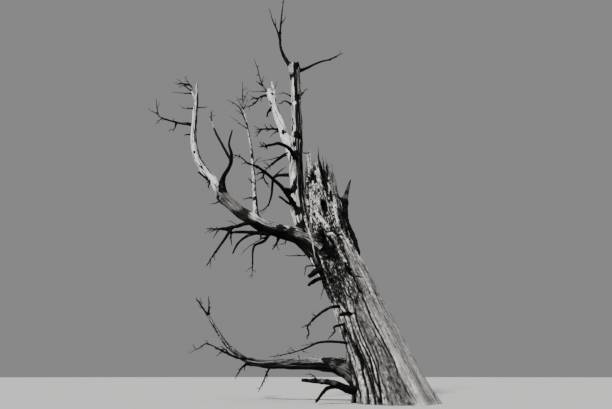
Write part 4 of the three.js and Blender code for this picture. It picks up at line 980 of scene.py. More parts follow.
def add_lines(layer, share, height, under_lip, from_left):
    """Adds the lines along the lip and along the bare strip's left edge to the layers."""
    shell = 1 - share["torn"]
    edge = shell * hump(*STRIP_LINE, from_left) * ease(100, 400, height)
    layer["edge"] = edge * np.clip(0.75 + 1.1 * layer["strip_edge"], 0.2, 1.3)
    layer["barked"] = shell * (1 - share["strip"])
    layer["lip_line"] = hump(*LIP_LINE, under_lip)
    layer["bright_lip"] = layer["lip_line"] * ease(-0.5, 0.2, layer["blotch"]) * (1 - 0.4 * share["strip"])
    layer["lip_shadow"] = hump(*LIP_SHADOW, under_lip)


def trunk_surface(angle, height, radius, grain):
    """How far out the finished skin is, in millimetres, and its tone from 0, dark, to 1, pale."""
    place = (angle, height, radius)
    degrees = np.degrees(wrapped(angle))
    layer = trunk_layers(angle, height, grain)
    share, under_lip, from_left, low, middle_band = surface_shares(degrees, height, layer)
    add_lines(layer, share, height, under_lip, from_left)
    slab, seam = slab_push(height, angle, 0.16 * layer["slab_edge"])
    hole, shade = trunk_holes(*place, layer)
    furrow, line = trunk_furrows(*place, layer)

    push = mixed(LINE_RELIEF, layer) - hole - furrow
    plain = mixed({kind: row[0] for kind, row in SURFACES.items()}, share)
    ragged = 0.3 * layer["ragged"]
    # Patches of the wood's own tone, with painted light that lifts shaded places and painted shade in the
    # slot
    tone = patched(plain, TONE_AND_LIGHT_PATCHES, ragged, place) + mixed(LINE_TONE, layer)
    for kind, (_, relief, detail) in SURFACES.items():
        push = push + share[kind] * mixed(relief, layer)
        tone = tone + share[kind] * mixed(detail, layer)
    reach = plain_reach(radius, height, angle) + SHELL_STEP * (0.5 - share["torn"]) + share["torn"] * slab
    reach = reach + np.minimum(1, radius / RELIEF_RADIUS) * push

    tone = tone + share["torn"] * (SLAB_TONE * slab / SLAB_LEVEL + SLAB_SEAM_TONE * seam)
    tone = tone + FURROW_TONE * line
    calm = CALM_LOW * low + CALM_MIDDLE * middle_band
    tone = tone + calm * (CALM_TONE + CALM_STRIP * share["strip"] - tone)
    # Painted shade fills the holes, with painted light on the walls inside them that face the light
    hole_light_and_shade = patched(0.01 + 0.07 * layer["hole_wall"], LIT_WALLS, ragged, place)
    hole_light_and_shade = hole_light_and_shade * (1 + 0.8 * layer["wall_spots"])
    return reach, tone * (1 - shade) + shade * hole_light_and_shade


def trunk_grain(angle, height):
    """Where each point is in the wood, as if the trunk were straight and evenly thick."""
    angle, height = np.broadcast_arrays(angle, height)
    return np.stack([TRUNK_GRAIN * np.cos(angle), TRUNK_GRAIN * np.sin(angle), height], axis=-1)


def trunk_skin(angle, share):
    """Points on the trunk's finished skin, and their tone, at angles and shares of the trunk line."""
    path = along_knees(TRUNK_LINE, share)
    height, radius = path[..., 2], path[..., 3]
    reach, tone = trunk_surface(angle, height / MM, radius / MM, trunk_grain(angle, height))
    return path, reach * MM, tone


def rim_share(angle):
    """Where the torn rim is, as a share of the trunk line: high on the left, with waves and splinters."""
    left = 0.5 - 0.5 * np.cos(angle + RIM_TURN)
    waves = np.abs(np.sin(RIM_WAVES * angle + RIM_START))
    rim = RIM_LOW + (RIM_HIGH - RIM_LOW) * (0.45 * left + 0.55 * waves)
    for count, height, seed in RIM_TIPS:
        rim = rim + height * (splinter_tips(angle, count, RIM_DROOP, seed) - 0.5)
    return rim


def placed(path, reach, angle):
    """Points this far out from a path, at these angles round it."""
    x = path[..., 0] + reach * np.cos(angle)
    y = path[..., 1] + reach * np.sin(angle)
    return np.stack([x, y, path[..., 2]], axis=-1)


def crater(angle, rim, rim_reach):
    """The rings of the hollow top from its rim inwards, with their tone and grain."""
    stations = np.linspace(0, len(CRATER) - 1, CRATER_ROWS + 1)[1:]
    inward, drop = (np.interp(stations, range(len(CRATER)), column)[:, None] for column in zip(*CRATER))
    path = along_knees(TRUNK_LINE, rim - drop)
    angles = np.broadcast_to(angle, path.shape[:2])
    grain = trunk_grain(angles, path[..., 2])
    sliver, seam = slabs(angles, path[..., 2], grain, *CRATER_SLIVERS)
    rough = 0.08 * sliver - 0.06 * seam + 0.12 * grain_noise(grain, *CRATER_NOISE)
    reach = rim_reach * inward * (1 + rough * ease(1.0, 0.9, inward))
    tone = np.clip(0.4 - 2.2 * (1 - inward), 0.02, 1) + 0.1 * sliver - 0.1 * seam
    return placed(path, reach, angles), tone, grain


def dress_trunk(material):
    """The trunk's skin from the flat cut to the bottom of its hollow top."""
    angle = TURN * np.arange(TRUNK_AROUND)[None, :] / TRUNK_AROUND
    share = even_shares(TRUNK_LINE, TRUNK_ROWS)[:, None]
    rim = rim_share(angle)
    share = share * (1 - (1 - rim) * share ** TAPER_POWER)
    angles = np.broadcast_to(angle, share.shape)
    path, reach, tone = trunk_skin(angles, share)
    tone = with_painted_cavity_shade(tone, reach, *TRUNK_CAVITY_SHADE)
    spread, painted_crease_shade = fillets("trunk", placed(path, reach, angles))
    rings = placed(path, reach + spread, angles)
    rings[0, :, 2] = 0
    inner_rings, inner_tone, inner_grain = crater(angle, rim, reach[-1:])
    tones = [tone * painted_crease_shade, inner_tone]
    grains = [trunk_grain(angles, path[..., 2]), inner_grain]
    bottom = along_knees(TRUNK_LINE, CRATER_BOTTOM)[:3]
    finish_skin("trunk", [rings, inner_rings], tones, grains, bottom, material, "trunk_wood")


def finish_skin(name, rings, tones, grains, last_middle, material, slot):
    """Joins rings of points into a closed skin, dresses it, and lets it stand for its node."""
    rings = np.vstack(rings)
    tone = np.clip(np.vstack(tones), 0, 1).ravel()
    grain = np.vstack(grains).reshape(-1, 3)
    values = {"tone": np.append(tone, [CUT_TONE, tone[-rings.shape[1]:].mean()])}
    values["grain"] = np.vstack([grain, grain[0], grain[-1]])
    points, quads, triangles = closed_rings(rings, rings[0].mean(axis=0), last_middle)
    keep(make_mesh(name + "_skin", points, quads, triangles, values, material), slot, name)


# Limbs

FILLET = 1.15                   # how wide a fillet is against the limb that grows there
SWELL = 0.3                     # how far it swells against that width
# how dark the painted shade is in the crease where one limb joins another
FILLET_SHADE = 0.3
AROUND_STEP = 0.009             # metres between points round a limb and along it
ALONG_STEP = 0.02
LIMB_SIDES, LIMB_RINGS = (20, 132), (40, 330)   # fewest and most points round a limb and rings along it
LENGTH_STEPS = 200              # along a limb where its whole length is measured
STRIP_WIDTH = 0.07              # metres: of a strip of split wood on a limb
SPAN_POINTS = 12                # points for each span between two knees, where a line is tested
RIPPLE = (0.05, 3, 5)           # depth against the radius, waves round, and turns for each span
BREAK = [(0.86, 0.12), (0.66, 0.6), (0.4, 1.0), (0.15, 1.15)]   # inwards and down a torn end, as shares
BREAK_TIPS = [(5, 0.5), (13, 0.35)]   # splinters round a torn end, and their height against its length
BREAK_TONE = 0.5
ROUND_END = [0.35, 0.6, 0.8, 0.93]   # how far each ring of a rounded end is on the way to its tip
END_LENGTH = 0.9                # of a rounded end against its radius
MARK_STRENGTH = 0.92
MARK_EDGE = (0.62, 1.05)        # where a mark starts to end and has ended, against its radius


def centre_line(name):
    """Points and radii down the middle of the trunk, a limb or a mass's stem."""
    knees = TRUNK_LINE if name == "trunk" else LIMBS[name][3] if name in LIMBS else STEMS[name]
    return along_knees(knees, np.linspace(0, 1, SPAN_POINTS * (len(knees) - 1) + 1))


def distance_to(name, points):
    """How far points are from the surface of the trunk or a limb, taken as plain tubes."""
    flat = points.reshape(-1, 3)
    nearest = np.full(len(flat), FAR)
    for *middle, radius in centre_line(name):
        nearest = np.minimum(nearest, np.linalg.norm(flat - middle, axis=1) - radius)
    return nearest.reshape(points.shape[:-1])


def fillets(name, points):
    """How far the skin swells to meet the limbs that join it, and painted shade in the crease there."""
    joined = [] if name == "trunk" else list(LIMBS[name][1])
    joined += [other for other, row in LIMBS.items() if name in row[1]]
    spread = np.zeros(points.shape[:-1])
    tone = np.ones(points.shape[:-1])
    for other in joined:
        child = other if other in LIMBS and name in LIMBS[other][1] else name
        width = FILLET * LIMBS[child][3][0][3]
        near = np.clip(1 - np.abs(distance_to(other, points)) / width, 0, 1)
        spread = np.maximum(spread, SWELL * width * near ** 2)
        tone = np.minimum(tone, 1 - FILLET_SHADE * near ** 2)
    return spread, tone


def pale_relief(name, angle, length, grain, radius, mean, seed):
    """Bare split wood with long flutes, seams, cracks and black stains, as large as the limb is thick."""
    paleness, stained = LIMB_LOOKS.get(name, USUAL_LOOK)
    count = max(5, round(TURN * mean / STRIP_WIDTH))
    slab, seam = slabs(angle, length, grain / mean * 0.3, count, 1.1, seed)
    gate = ease(-0.3, 0.3, grain_noise(grain, 2 * mean, 7 * mean, seed + 20))
    split = cracks(grain, 0.8 * mean, 12 * mean, 0.14, seed + 21) * gate
    flute = grain_noise(grain, 2.2 * mean, 14 * mean, seed + 22)
    lump = rough_noise(grain, 1.6 * mean, 2.6 * mean, seed + 23)
    fibre = rough_noise(grain, 0.02, 0.16, seed + 24)
    streak = rough_noise(grain, 0.5 * mean, 7 * mean, seed + 25)
    stain = ease(0.25, 0.5, rough_noise(grain, 0.55 * mean, 3.4 * mean, seed + 26))
    speck = rough_noise(grain, 0.022, 0.05, seed + 27)
    push = radius * (0.11 * flute + 0.05 * slab - 0.07 * seam + 0.08 * lump)
    push = push - (0.14 * radius + 0.005) * split + 0.003 * fibre
    tone = paleness + 0.1 * slab - 0.3 * seam + 0.2 * streak + 0.1 * speck - 0.9 * split - stained * stain
    return push, tone


def dark_relief(name, angle, length, grain, radius, mean, seed):
    """Dark wood with scraps of bark and knobs."""
    plate, level = plates(grain, 0.02 + 0.1 * mean, 0.05 + 0.3 * mean, seed + 20)
    flute = grain_noise(grain, 2 * mean, 6 * mean, seed + 21)
    lump = rough_noise(grain, mean, 1.6 * mean, seed + 22)
    streak = rough_noise(grain, 0.8 * mean, 6 * mean, seed + 23)
    push = radius * (0.14 * flute + 0.12 * lump) + (0.04 * radius + 0.0015) * (plate + level - 1)
    tone = 0.07 + 0.2 * ease(0.7, 0.95, level) * plate + 0.1 * streak - 0.06 * (1 - plate)
    return push, tone


RELIEFS = {"pale": pale_relief, "dark": dark_relief}


def shaded_side(name, tone, out, ragged=0, ribbons=0):
    """The tone of a limb with painted shade on its side away from the light and on its underside, and with
    strands of grey wood there.
    """
    way, low, high, strength = PAINTED_SHADE_SIDES.get(name, USUAL_SHADE_SIDE)
    dark = strength * ease(low, high, out @ unit(np.array(way)) + ragged)
    strands = STRANDS.get(name, 0) * ease(0.05, 0.3, ribbons)
    return tone * (1 - dark) + dark * strands


def marked(name, push, tone, points, grain):
    """The relief and the tone of a limb with its knot holes, stains and bare places."""
    ragged = 0.3 * rough_noise(grain, 0.06, 0.14, 33)
    for middle, radius, target, depth in MARKS.get(name, []):
        off = np.linalg.norm(points - np.array(middle) * MM, axis=-1) / (radius * MM) + ragged
        inside = 1 - ease(*MARK_EDGE, off)
        tone = tone + MARK_STRENGTH * inside * (target - tone)
        push = push - depth * MM * inside
    return push, tone


def torn_outline(angle, seed):
    """How far out along the limb its torn end reaches at each angle, from about 0 to 1."""
    tips = 0.5 * np.abs(np.sin(2.2 * wrapped(angle) + 0.6))
    for count, height in BREAK_TIPS:
        tips = tips + height * splinter_tips(angle, count, 0.5, seed)
    return tips


def broken_end(middle, out, ahead, reach, grain, tips, length, seed):
    """The rings inside a torn end, and how bright each is."""
    for inward, drop in BREAK:
        rough = 0.3 * length * grain_noise(grain * (1, 1, 0) * inward, 0.03, 1, seed)
        ring = middle + out * (reach * inward)[..., None]
        yield ring + ahead * (tips * (1 - drop) + rough)[..., None], BREAK_TONE * inward


def rounded_end(middle, out, ahead, reach, radius):
    """The rings of a rounded end, and how bright each is."""
    for way in ROUND_END:
        ring = middle + out * (reach * math.sqrt(1 - way ** 2))[..., None]
        yield ring + ahead * END_LENGTH * radius * way, 1


def dress_limb(name, seed, material):
    """A limb's skin with its relief and tone, from its foot in what carries it to its tip."""
    kind, _, broken, knees = LIMBS[name]
    mean = knees[:, 3].mean()
    full = lengths_along(along_knees(knees, np.linspace(0, 1, LENGTH_STEPS))[:, :3])[-1]
    around = int(np.clip(TURN * mean / AROUND_STEP, *LIMB_SIDES))
    rows = int(np.clip(full / (ALONG_STEP * min(1, 0.5 + 5 * mean)), *LIMB_RINGS))
    shares = even_shares(knees, rows)
    path = along_knees(knees, shares)
    middles, radius = path[:, :3], path[:, 3:]
    angle = TURN * np.arange(around)[None, :] / around
    ahead, out = carried_rings(middles, angle)
    angles, lengths = np.broadcast_arrays(angle, lengths_along(middles)[:, None])
    grain = np.stack([mean * np.cos(angles), mean * np.sin(angles), lengths + 3 * seed], axis=-1)
    depth, waves, turns = RIPPLE
    rippled = radius * (1 + depth * np.sin(waves * angle + turns * shares[:, None] * (len(knees) - 1)))
    plain = middles[:, None] + out * rippled[..., None]

    push, tone = RELIEFS[kind](name, angles, lengths, grain, radius, mean, seed)
    ragged = 0.35 * rough_noise(grain, 0.6 * mean, 6 * mean, seed + 30)
    # Painted shade on the side away from the light and on the underside, with grey strands in it
    tone = shaded_side(name, tone, out, ragged, rough_noise(grain, 0.2 * mean, 7 * mean, seed + 31))
    push, tone = marked(name, push, tone, plain, grain)
    tone = with_painted_cavity_shade(tone, push, 2, 0.05 * mean + 0.003)
    spread, painted_crease_shade = fillets(name, plain)
    tone = tone * painted_crease_shade
    reach = rippled + push + spread
    rings = middles[:, None] + out * reach[..., None]

    last = (middles[-1:, None], out[-1:], ahead[-1:, None], reach[-1:])
    if broken:
        tips = broken * torn_outline(angle, seed)
        rings += ahead[:, None] * (tips * ease(-4 * broken, 0, lengths - lengths[-1]))[..., None]
        end = list(broken_end(*last, grain[-1:], tips, broken, seed + 40))
    else:
        end = list(rounded_end(*last, path[-1, 3]))
    grids = [rings, *(ring for ring, _ in end)]
    tones = [tone, *(tone[-1:] * bright for _, bright in end)]
    grains = [grain, *(grain[-1:] for _ in end)]
    finish_skin(name, grids, tones, grains, grids[-1][-1].mean(axis=0), material, kind + "_wood")


# Twigs

STEM_SIDES, TWIG_SIDES, FINE_SIDES, STUB_SIDES = 10, 8, 5, 14
TWIG_TONE, STUB_TONE, PALE_STUB_TONE = 0.07, 0.08, 0.75
TUBE_STEP, TUBE_RINGS = 0.03, (5, 60)   # metres between the rings of a twig, and the fewest and most
THINNEST = 0.0012               # metres
SWAY = (0.9, 0.008)             # how far a twig sways: of its radius, and at most in metres
SWAY_LENGTH, LUMP_LENGTH = 0.07, 0.05   # metres from one sway or lump to the next
LUMP, RIDGE = 0.22, 0.1         # how deep its lumps and its twisting ridges are, against its radius
COLLAR = 0.7                    # how much thicker its foot is
TORN = 2.5                      # how far the splinters of a stub stand out, against its radius
SINGLE_TIP, STUB_TIP = 0.2, 0.6   # the radius at the tip, against the foot
SINGLE_SIDE_LENGTH = 0.12       # metres: the finer twigs on single twigs
FOOT_DEPTH = 0.6                # of the carrier's radius: how far from its middle a foot starts


def seeded(seed):
    """The same run of numbers from 0 to 1 for the same seed."""
    state = seed

    def draw():
        nonlocal state
        state = (state * 1664525 + 1013904223) % 2 ** 32
        return state / 2 ** 32
    draw()
    return draw


def random_vector(random):
    """A vector with three numbers from -1 to 1."""
    return np.array([2 * random() - 1, 2 * random() - 1, 2 * random() - 1])


def side_twigs(random, stem, count, length, lift):
    """The knees of side twigs that grow along a stem, and the length of each."""
    for i in range(count):
        share = TWIG_START + (TWIG_END - TWIG_START) * (i + TWIG_SCATTER * random()) / count
        *start, radius = along_knees(stem, share)
        heading = unit(along_knees(stem, share + SHARE_STEP)[:3] - start)
        least, most = TWIG_LENGTHS
        foot, loss = TWIG_SHORTER
        own = length * (least + (most - least) * random()) * (foot - loss * share)
        spread = math.radians(TWIG_SPREAD[0] + (TWIG_SPREAD[1] - TWIG_SPREAD[0]) * random())
        away = unit(np.cross(heading, random_vector(random)))
        way = heading * math.cos(spread) + away * math.sin(spread)
        radius = radius * TWIG_RADIUS
        knees = [(*start, radius)]
        for bend in range(1, TWIG_BENDS + 1):
            way = way + random_vector(random) * TWIG_BEND
            way[2] += lift * TWIG_LIFT
            way = unit(way)
            start = start + way * own / TWIG_BENDS
            knees.append((*start, radius * (1 - TWIG_TAPER * bend / TWIG_BENDS)))
        yield np.array(knees), own


def is_clear(knees, middle, reach, obstacles, clearance):
    """Whether a twig stays in its mass's reach and off the limbs."""
    ends = knees[1:, :3]
    if np.linalg.norm(ends - middle, axis=1).max() > reach:
        return False
    gaps = np.linalg.norm(ends[:, None] - obstacles[None, :, :3], axis=2) - obstacles[None, :, 3]
    return gaps.min() > clearance * MM


def grow_mass(name):
    """The side twigs of a mass, and the finer twigs that grow on them by the same rule."""
    _, seed, count, length, reach, lift, _ = MASS_ROWS[name]
    stem = STEMS[name]
    names = ["trunk", *LIMBS, *(other for other in STEMS if other != name)]
    around = (along_knees(stem, 0.5)[:3], reach * MM, np.vstack([centre_line(other) for other in names]))
    grown = side_twigs(seeded(seed), stem, count, length * MM, lift)
    twigs = [row for row in grown if is_clear(row[0], *around, TWIG_CLEARANCE)]
    random = seeded(seed + 500)
    fine = []
    parents = [] if name in BARE_MASSES else [*twigs, (stem, length * MM)]
    for level_count, level_length in FINE_LEVELS:
        level = []
        for parent, parent_length in parents:
            grown = side_twigs(random, parent, level_count, parent_length * level_length, lift)
            level += [row for row in grown if is_clear(row[0], *around, FINE_CLEARANCE)]
        fine += level
        parents = level
    return [row[0] for row in twigs], [row[0] for row in fine]


def attached(carrier, radius, route, tip):
    """A single twig's knees, with its foot sunk in what carries it."""
    line = centre_line(carrier)
    route = np.array(route) * CM
    nearest = line[np.argmin(np.linalg.norm(line[:, :3] - route[0], axis=1) - line[:, 3])]
    middle, depth = nearest[:3], nearest[3]
    foot = middle + unit(route[0] - middle) * FOOT_DEPTH * depth
    rest = [place for place in route if np.linalg.norm(place - middle) > depth + 0.02]
    points = np.array([foot, *rest])
    lengths = lengths_along(points)
    return np.column_stack([points, radius * MM * (1 - (1 - tip) * lengths / lengths[-1])])


def tube(knees, sides, seed, foot_tone=TWIG_TONE, tip_tone=TWIG_TONE, torn=0.0):
    """A knobbly twig: its points, faces, tone and grain."""
    full = lengths_along(knees[:, :3])[-1]
    rows = int(np.clip(full / TUBE_STEP, *TUBE_RINGS))
    path = along_knees(knees, even_shares(knees, rows))
    radius = np.maximum(path[:, 3:], THINNEST)
    mean = radius.mean()
    length = lengths_along(path[:, :3])[:, None]
    marks = length * (0, 0, 1)
    sway = np.stack([grain_noise(marks, 1, SWAY_LENGTH, seed + i) for i in (1, 2, 3)], axis=-1)
    of_radius, most = SWAY
    middles = path[:, :3] + sway * ease(0, 0.08, length) * np.minimum(of_radius * radius, most)
    angle = TURN * np.arange(sides)[None, :] / sides
    ahead, out = carried_rings(middles, angle)
    lumps = 1 + LUMP * grain_noise(marks, 1, LUMP_LENGTH, seed + 4)[:, None]
    lumps = lumps + RIDGE * np.sin(2 * angle + 9 * length)
    collar = 1 + COLLAR * np.exp(-length / (2.5 * radius[0] + 0.002))
    rings = middles[:, None] + out * (radius * lumps * collar)[..., None]
    rings[-1] += ahead[-1] * (torn * radius[-1] * LEVELS[hashed(np.arange(sides), seed)])[:, None]
    angles, lengths = np.broadcast_arrays(angle, length)
    grain = np.stack([mean * np.cos(angles), mean * np.sin(angles), lengths + seed], axis=-1)
    tone = foot_tone + (tip_tone - foot_tone) * ease(0.15, 0.8, lengths / full)
    tone = tone * (1 + 0.5 * rough_noise(grain, mean, 0.1, seed + 5))
    # Painted shade on the twig's underside
    tone = shaded_side("twig", tone, out)
    tip = middles[-1] + ahead[-1] * radius[-1] * (1 - torn)
    tones = np.append(tone.ravel(), [foot_tone, 0.3 * tip_tone])
    grains = np.vstack([grain.reshape(-1, 3), grain[0, 0], grain[-1, 0]])
    return *closed_rings(rings, middles[0], tip), tones, grains


def join_parts(name, parts, material, slot, *nodes):
    """One piece from many small closed meshes."""
    points, quads, triangles, tones, grains = zip(*parts)
    starts = np.cumsum([0, *(len(part) for part in points[:-1])])
    quads, triangles = (
        np.vstack([faces + start for faces, start in zip(kind, starts)]) for kind in (quads, triangles))
    values = {"tone": np.clip(np.concatenate(tones), 0, 1), "grain": np.vstack(grains)}
    keep(make_mesh(name, np.vstack(points), quads, triangles, values, material), slot, *nodes)


def dress_stubs(name, rows, material, slot, tone):
    """Short broken branches with torn ends."""
    knees = [attached(*row, STUB_TIP) for row in rows]
    stubs = [tube(row, STUB_SIDES, 13 * i + 5, tone, tone, TORN) for i, row in enumerate(knees)]
    join_parts(name, stubs, material, slot)


def dress_twigs(material):
    """All twigs in one piece, and the finer ones in another."""
    twigs = []
    fine = []
    for name, stem in STEMS.items():
        coarse_knees, fine_knees = grow_mass(name)
        twigs.append(tube(stem, STEM_SIDES, 31 * len(twigs) + 7, PALE_STEMS.get(name, TWIG_TONE)))
        twigs += [tube(knees, TWIG_SIDES, 31 * len(twigs) + 7) for knees in coarse_knees]
        fine += [tube(knees, FINE_SIDES, 17 * len(fine) + 3) for knees in fine_knees]
    for row in TWIGS:
        knees = attached(*row, SINGLE_TIP)
        twigs.append(tube(knees, TWIG_SIDES, 31 * len(twigs) + 7))
        random = seeded(len(twigs) + 900)
        for side, _ in side_twigs(random, knees, SINGLE_TWIG_SIDES, SINGLE_SIDE_LENGTH, 0):
            fine.append(tube(side, FINE_SIDES, 17 * len(fine) + 3))
    join_parts("twigs", twigs, material, "twigs", *MASS_ROWS)
    join_parts("fine_twigs", fine, material, "twigs")


# Splinters: thin blades of torn wood round the top of the trunk and on its torn face. Metres and degrees

RIM_SPLINTERS = 80
FACE_SPLINTERS = 110
RIM_ROWS, FACE_ROWS, BLADE_ROWS, RIB_ROWS = 9, 10, 26, 30
RIM_DEPTH = 0.012               # of the trunk line, below the rim
RIM_LEAN = np.array([-0.12, 0.01, 1.0])
RIM_UNEVEN, RIM_OUTWARD = 0.1, 0.05   # how far each leans from that, and how far outwards
RIM_SIZES = {"sink": (0.015, 0.06), "length": (0.15, 0.5), "width": (0.015, 0.05), "thickness": (0.008, 0.02)}
DARK_TONES, PALE_TONES = (0.03, 0.2), (0.45, 0.85)
DARK_FACING = 0.2               # the cosine from which the rim's dark side is dark
DARK_SHARE = 0.35               # of the splinters on the pale side
FACE_HEIGHTS = (3.9, 5.7)
FACE_SIZES = {"length": (0.15, 0.5), "width": (0.02, 0.07), "turn": (-0.25, 0.15), "thickness": (0.01, 0.03)}
LONG_THICKNESS = 0.03
SKIN_CONTRAST, SKIN_DARKER, DARKEST = 1.3, 0.12, 0.02   # the tone of a splinter against the skin's there
RIB_WIDTH, RIB_THICKNESS, RIB_TONE = 0.06, 0.07, 0.6
RIB_BENDS = 0.012
RIB_SIDEWAYS, RIB_OUTWARD = np.array([0.94, -0.34, 0]), np.array([-0.34, -0.94, 0])
BLADE_CORNERS = [(-1, 0), (-0.3, 0.9), (0.5, 0.6), (1, 0), (0.2, -0.8)]   # across and outwards
BLADE_TAPER, BLADE_TIP = 2.2, 0.02   # how late it narrows, and how wide its tip is against its width
BLADE_SINK, BLADE_LIFT = 0.015, 0.02   # how deep a foot is in the trunk, and how far the tip stands off


def blade(spine, sideways, outward, width, thickness, tone, seed):
    """A flat tapered splinter along a spine of points."""
    rows = len(spine)
    share = np.linspace(0, 1, rows)
    nicks = 0.85 + 0.3 * LEVELS[hashed(np.arange(rows), seed)]
    taper = (1 - share ** BLADE_TAPER) * nicks + BLADE_TIP
    edges = []
    for x, y in BLADE_CORNERS:
        beside = sideways * (x * width / 2 * taper)[:, None]
        edges.append(spine + beside + outward * (y * thickness / 2 * np.sqrt(taper))[:, None])
    points, quads, triangles = closed_rings(np.stack(edges, axis=1), spine[0], spine[-1])
    grain = np.stack([points @ sideways, points @ outward, points[:, 2]], axis=-1)
    speck = LEVELS[hashed(np.arange(len(points)), seed)] - 0.5
    tones = tone * (1 + 0.4 * rough_noise(grain, 0.03, 0.06, seed) + 0.3 * speck)
    return points, quads, triangles, tones, grain


def outward_at(angle):
    """The level direction out of the trunk at an angle."""
    return np.array([math.cos(angle), math.sin(angle), 0.0])


def rim_blade(random, seed):
    """A splinter that stands on the torn rim."""
    angle = np.array([random.uniform(0, TURN)])
    path, reach, _ = trunk_skin(angle, rim_share(angle) - RIM_DEPTH)
    outward = outward_at(angle[0])
    foot = placed(path, reach - random.uniform(*RIM_SIZES["sink"]), angle)[0]
    lean = unit(RIM_LEAN + RIM_UNEVEN * random.normal(size=3) * (1, 1, 0) + RIM_OUTWARD * outward)
    along = np.linspace(0, 1, RIM_ROWS)[:, None] ** 1.1
    spine = foot + along * lean * random.uniform(*RIM_SIZES["length"])
    width = random.uniform(*RIM_SIZES["width"])
    dark = np.cos(angle[0] - DARK_RIM) > DARK_FACING or random.uniform() < DARK_SHARE
    tone = random.uniform(*(DARK_TONES if dark else PALE_TONES))
    thickness = random.uniform(*RIM_SIZES["thickness"])
    return blade(spine, unit(np.cross(outward, lean)), outward, width, thickness, tone, seed)


def face_blade(turns, heights, width, thickness, tone, seed):
    """A splinter on the trunk's face, from a sunk foot to a tip that stands off; no tone means the skin's."""
    shares = np.linspace(0, 1, FINE_STEPS)
    line = along_knees(TRUNK_LINE, shares)
    path, reach, skin = trunk_skin(turns, np.interp(heights, line[:, 2], shares))
    if tone is None:
        tone = max(DARKEST, SKIN_CONTRAST * skin.mean() - SKIN_DARKER)
    along = np.linspace(0, 1, len(turns))
    levels = [reach[0] - BLADE_SINK, max(reach[0], reach[3]), reach[-1] + BLADE_LIFT]
    spine = placed(path, np.maximum(np.interp(along, [0, 0.3, 1], levels), reach), turns)
    outward = outward_at(turns[0])
    sideways = unit(np.cross(outward, spine[-1] - spine[0]))
    return blade(spine, sideways, outward, width, thickness, tone, seed)


def scattered_blade(random, seed):
    """A short splinter somewhere on the torn face, in the skin's own tone."""
    turn = math.radians(random.uniform(-180, 180))
    along = np.linspace(0, 1, FACE_ROWS)
    heights = random.uniform(*FACE_HEIGHTS) + along * random.uniform(*FACE_SIZES["length"])
    width = random.uniform(*FACE_SIZES["width"])
    turns = turn + along * random.uniform(*FACE_SIZES["turn"])
    return face_blade(turns, heights, width, random.uniform(*FACE_SIZES["thickness"]), None, seed)


def rib():
    """The bright rib between the left bough's foot and the hollow."""
    spine = along_knees(np.array(RIB) * MM, np.linspace(0, 1, RIB_ROWS))
    spine += RIB_BENDS * rough_noise(spine[:, None] * np.ones((1, 3, 1)), 0.1, 0.1, 90)
    return blade(spine, RIB_SIDEWAYS, RIB_OUTWARD, RIB_WIDTH, RIB_THICKNESS, RIB_TONE, 800)


def dress_splinters(material):
    """All splinters in one piece."""
    random = np.random.default_rng(23)
    parts = [rim_blade(random, i) for i in range(RIM_SPLINTERS)]
    parts += [scattered_blade(random, i + 200) for i in range(FACE_SPLINTERS)]
    for i, (low_turn, low, high_turn, high, width, tone) in enumerate(LONG_BLADES):
        turns = np.radians(np.linspace(low_turn, high_turn, BLADE_ROWS))
        heights = np.linspace(low, high, BLADE_ROWS) * MM
        parts.append(face_blade(turns, heights, width * MM, LONG_THICKNESS, tone, i + 400))
    join_parts("trunk_splinters", [*parts, rib()], material, "pale_wood")


# Stage

FLOOR_RADIUS = 220
FLOOR_SIDES = 128
FLOOR_COLOUR, FLOOR_ROUGHNESS = (0.62, 0.61, 0.6, 1), 0.95
SURROUND_COLOUR, SURROUND_STRENGTH = (0.3, 0.3, 0.3, 1), 0.85
# Lights: where each shines to, its strength, and how soft its shadows are in degrees
LIGHTS = {"key_light": ((0.48, 0.78, -0.62), 5.4, 8), "fill_light": ((-0.8, 0.5, -0.25), 0.6, 40)}


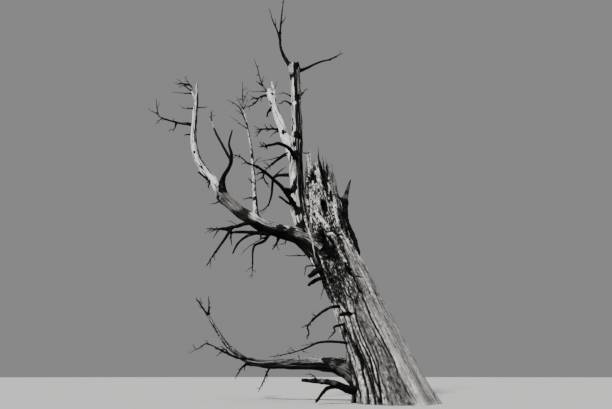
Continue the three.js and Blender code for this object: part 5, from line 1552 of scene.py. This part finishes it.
def dress_stage():
    """A wide round pale floor and a plain grey surround."""
    side = np.arange(FLOOR_SIDES)
    turn = TURN * side / FLOOR_SIDES
    rim = FLOOR_RADIUS * np.stack([np.cos(turn), np.sin(turn), 0 * turn], axis=-1)
    middle = np.full(FLOOR_SIDES, FLOOR_SIDES)
    triangles = np.stack([side, (side + 1) % FLOOR_SIDES, middle], axis=-1)
    material = bpy.data.materials.new("pale_floor")
    material.use_nodes = True
    shader = material.node_tree.nodes["Principled BSDF"]
    shader.inputs["Base Color"].default_value = FLOOR_COLOUR
    shader.inputs["Roughness"].default_value = FLOOR_ROUGHNESS
    floor = make_mesh("floor", np.vstack([rim, (0, 0, 0)]), np.zeros((0, 4), int), triangles, {}, material)
    world = bpy.data.worlds.new("surround")
    world.use_nodes = True
    background = world.node_tree.nodes["Background"]
    background.inputs["Color"].default_value = SURROUND_COLOUR
    background.inputs["Strength"].default_value = SURROUND_STRENGTH
    bpy.context.scene.world = world


def add_sun(name, direction, energy, softness):
    """A soft light that shines along a direction."""
    light = bpy.data.lights.new(name, "SUN")
    light.energy = energy
    light.angle = math.radians(softness)
    lamp = bpy.data.objects.new(name, light)
    lamp.rotation_mode = "QUATERNION"
    lamp.rotation_quaternion = Vector(direction).to_track_quat("-Z", "Y")
    bpy.context.scene.collection.objects.link(lamp)


def add_camera():
    """The camera at the photo's angle."""
    data = bpy.data.cameras.new("camera")
    data.lens = LENS
    data.sensor_width = SENSOR
    data.clip_end = CAMERA_REACH
    camera = bpy.data.objects.new("camera", data)
    camera.location = CAMERA_PLACE
    camera.rotation_euler = (math.radians(90 + CAMERA_UPTURN), 0, 0)
    bpy.context.scene.collection.objects.link(camera)
    bpy.context.scene.camera = camera


def main():
    """Builds the stage and every piece of the tree."""
    add_camera()
    dress_stage()
    for name, light in LIGHTS.items():
        add_sun(name, *light)
    wood = {name: wood_material(name) for name in WOODS}
    dress_trunk(wood["trunk_bark"])
    for i, name in enumerate(LIMBS):
        dress_limb(name, 3 * i + 2, wood[LIMBS[name][0] + "_wood"])
    dress_twigs(wood["twig_wood"])
    dress_stubs("broken_stubs", STUBS, wood["dark_wood"], "dark_wood", STUB_TONE)
    dress_stubs("pale_stubs", PALE_STUBS, wood["pale_wood"], "pale_wood", PALE_STUB_TONE)
    dress_splinters(wood["pale_wood"])


main()
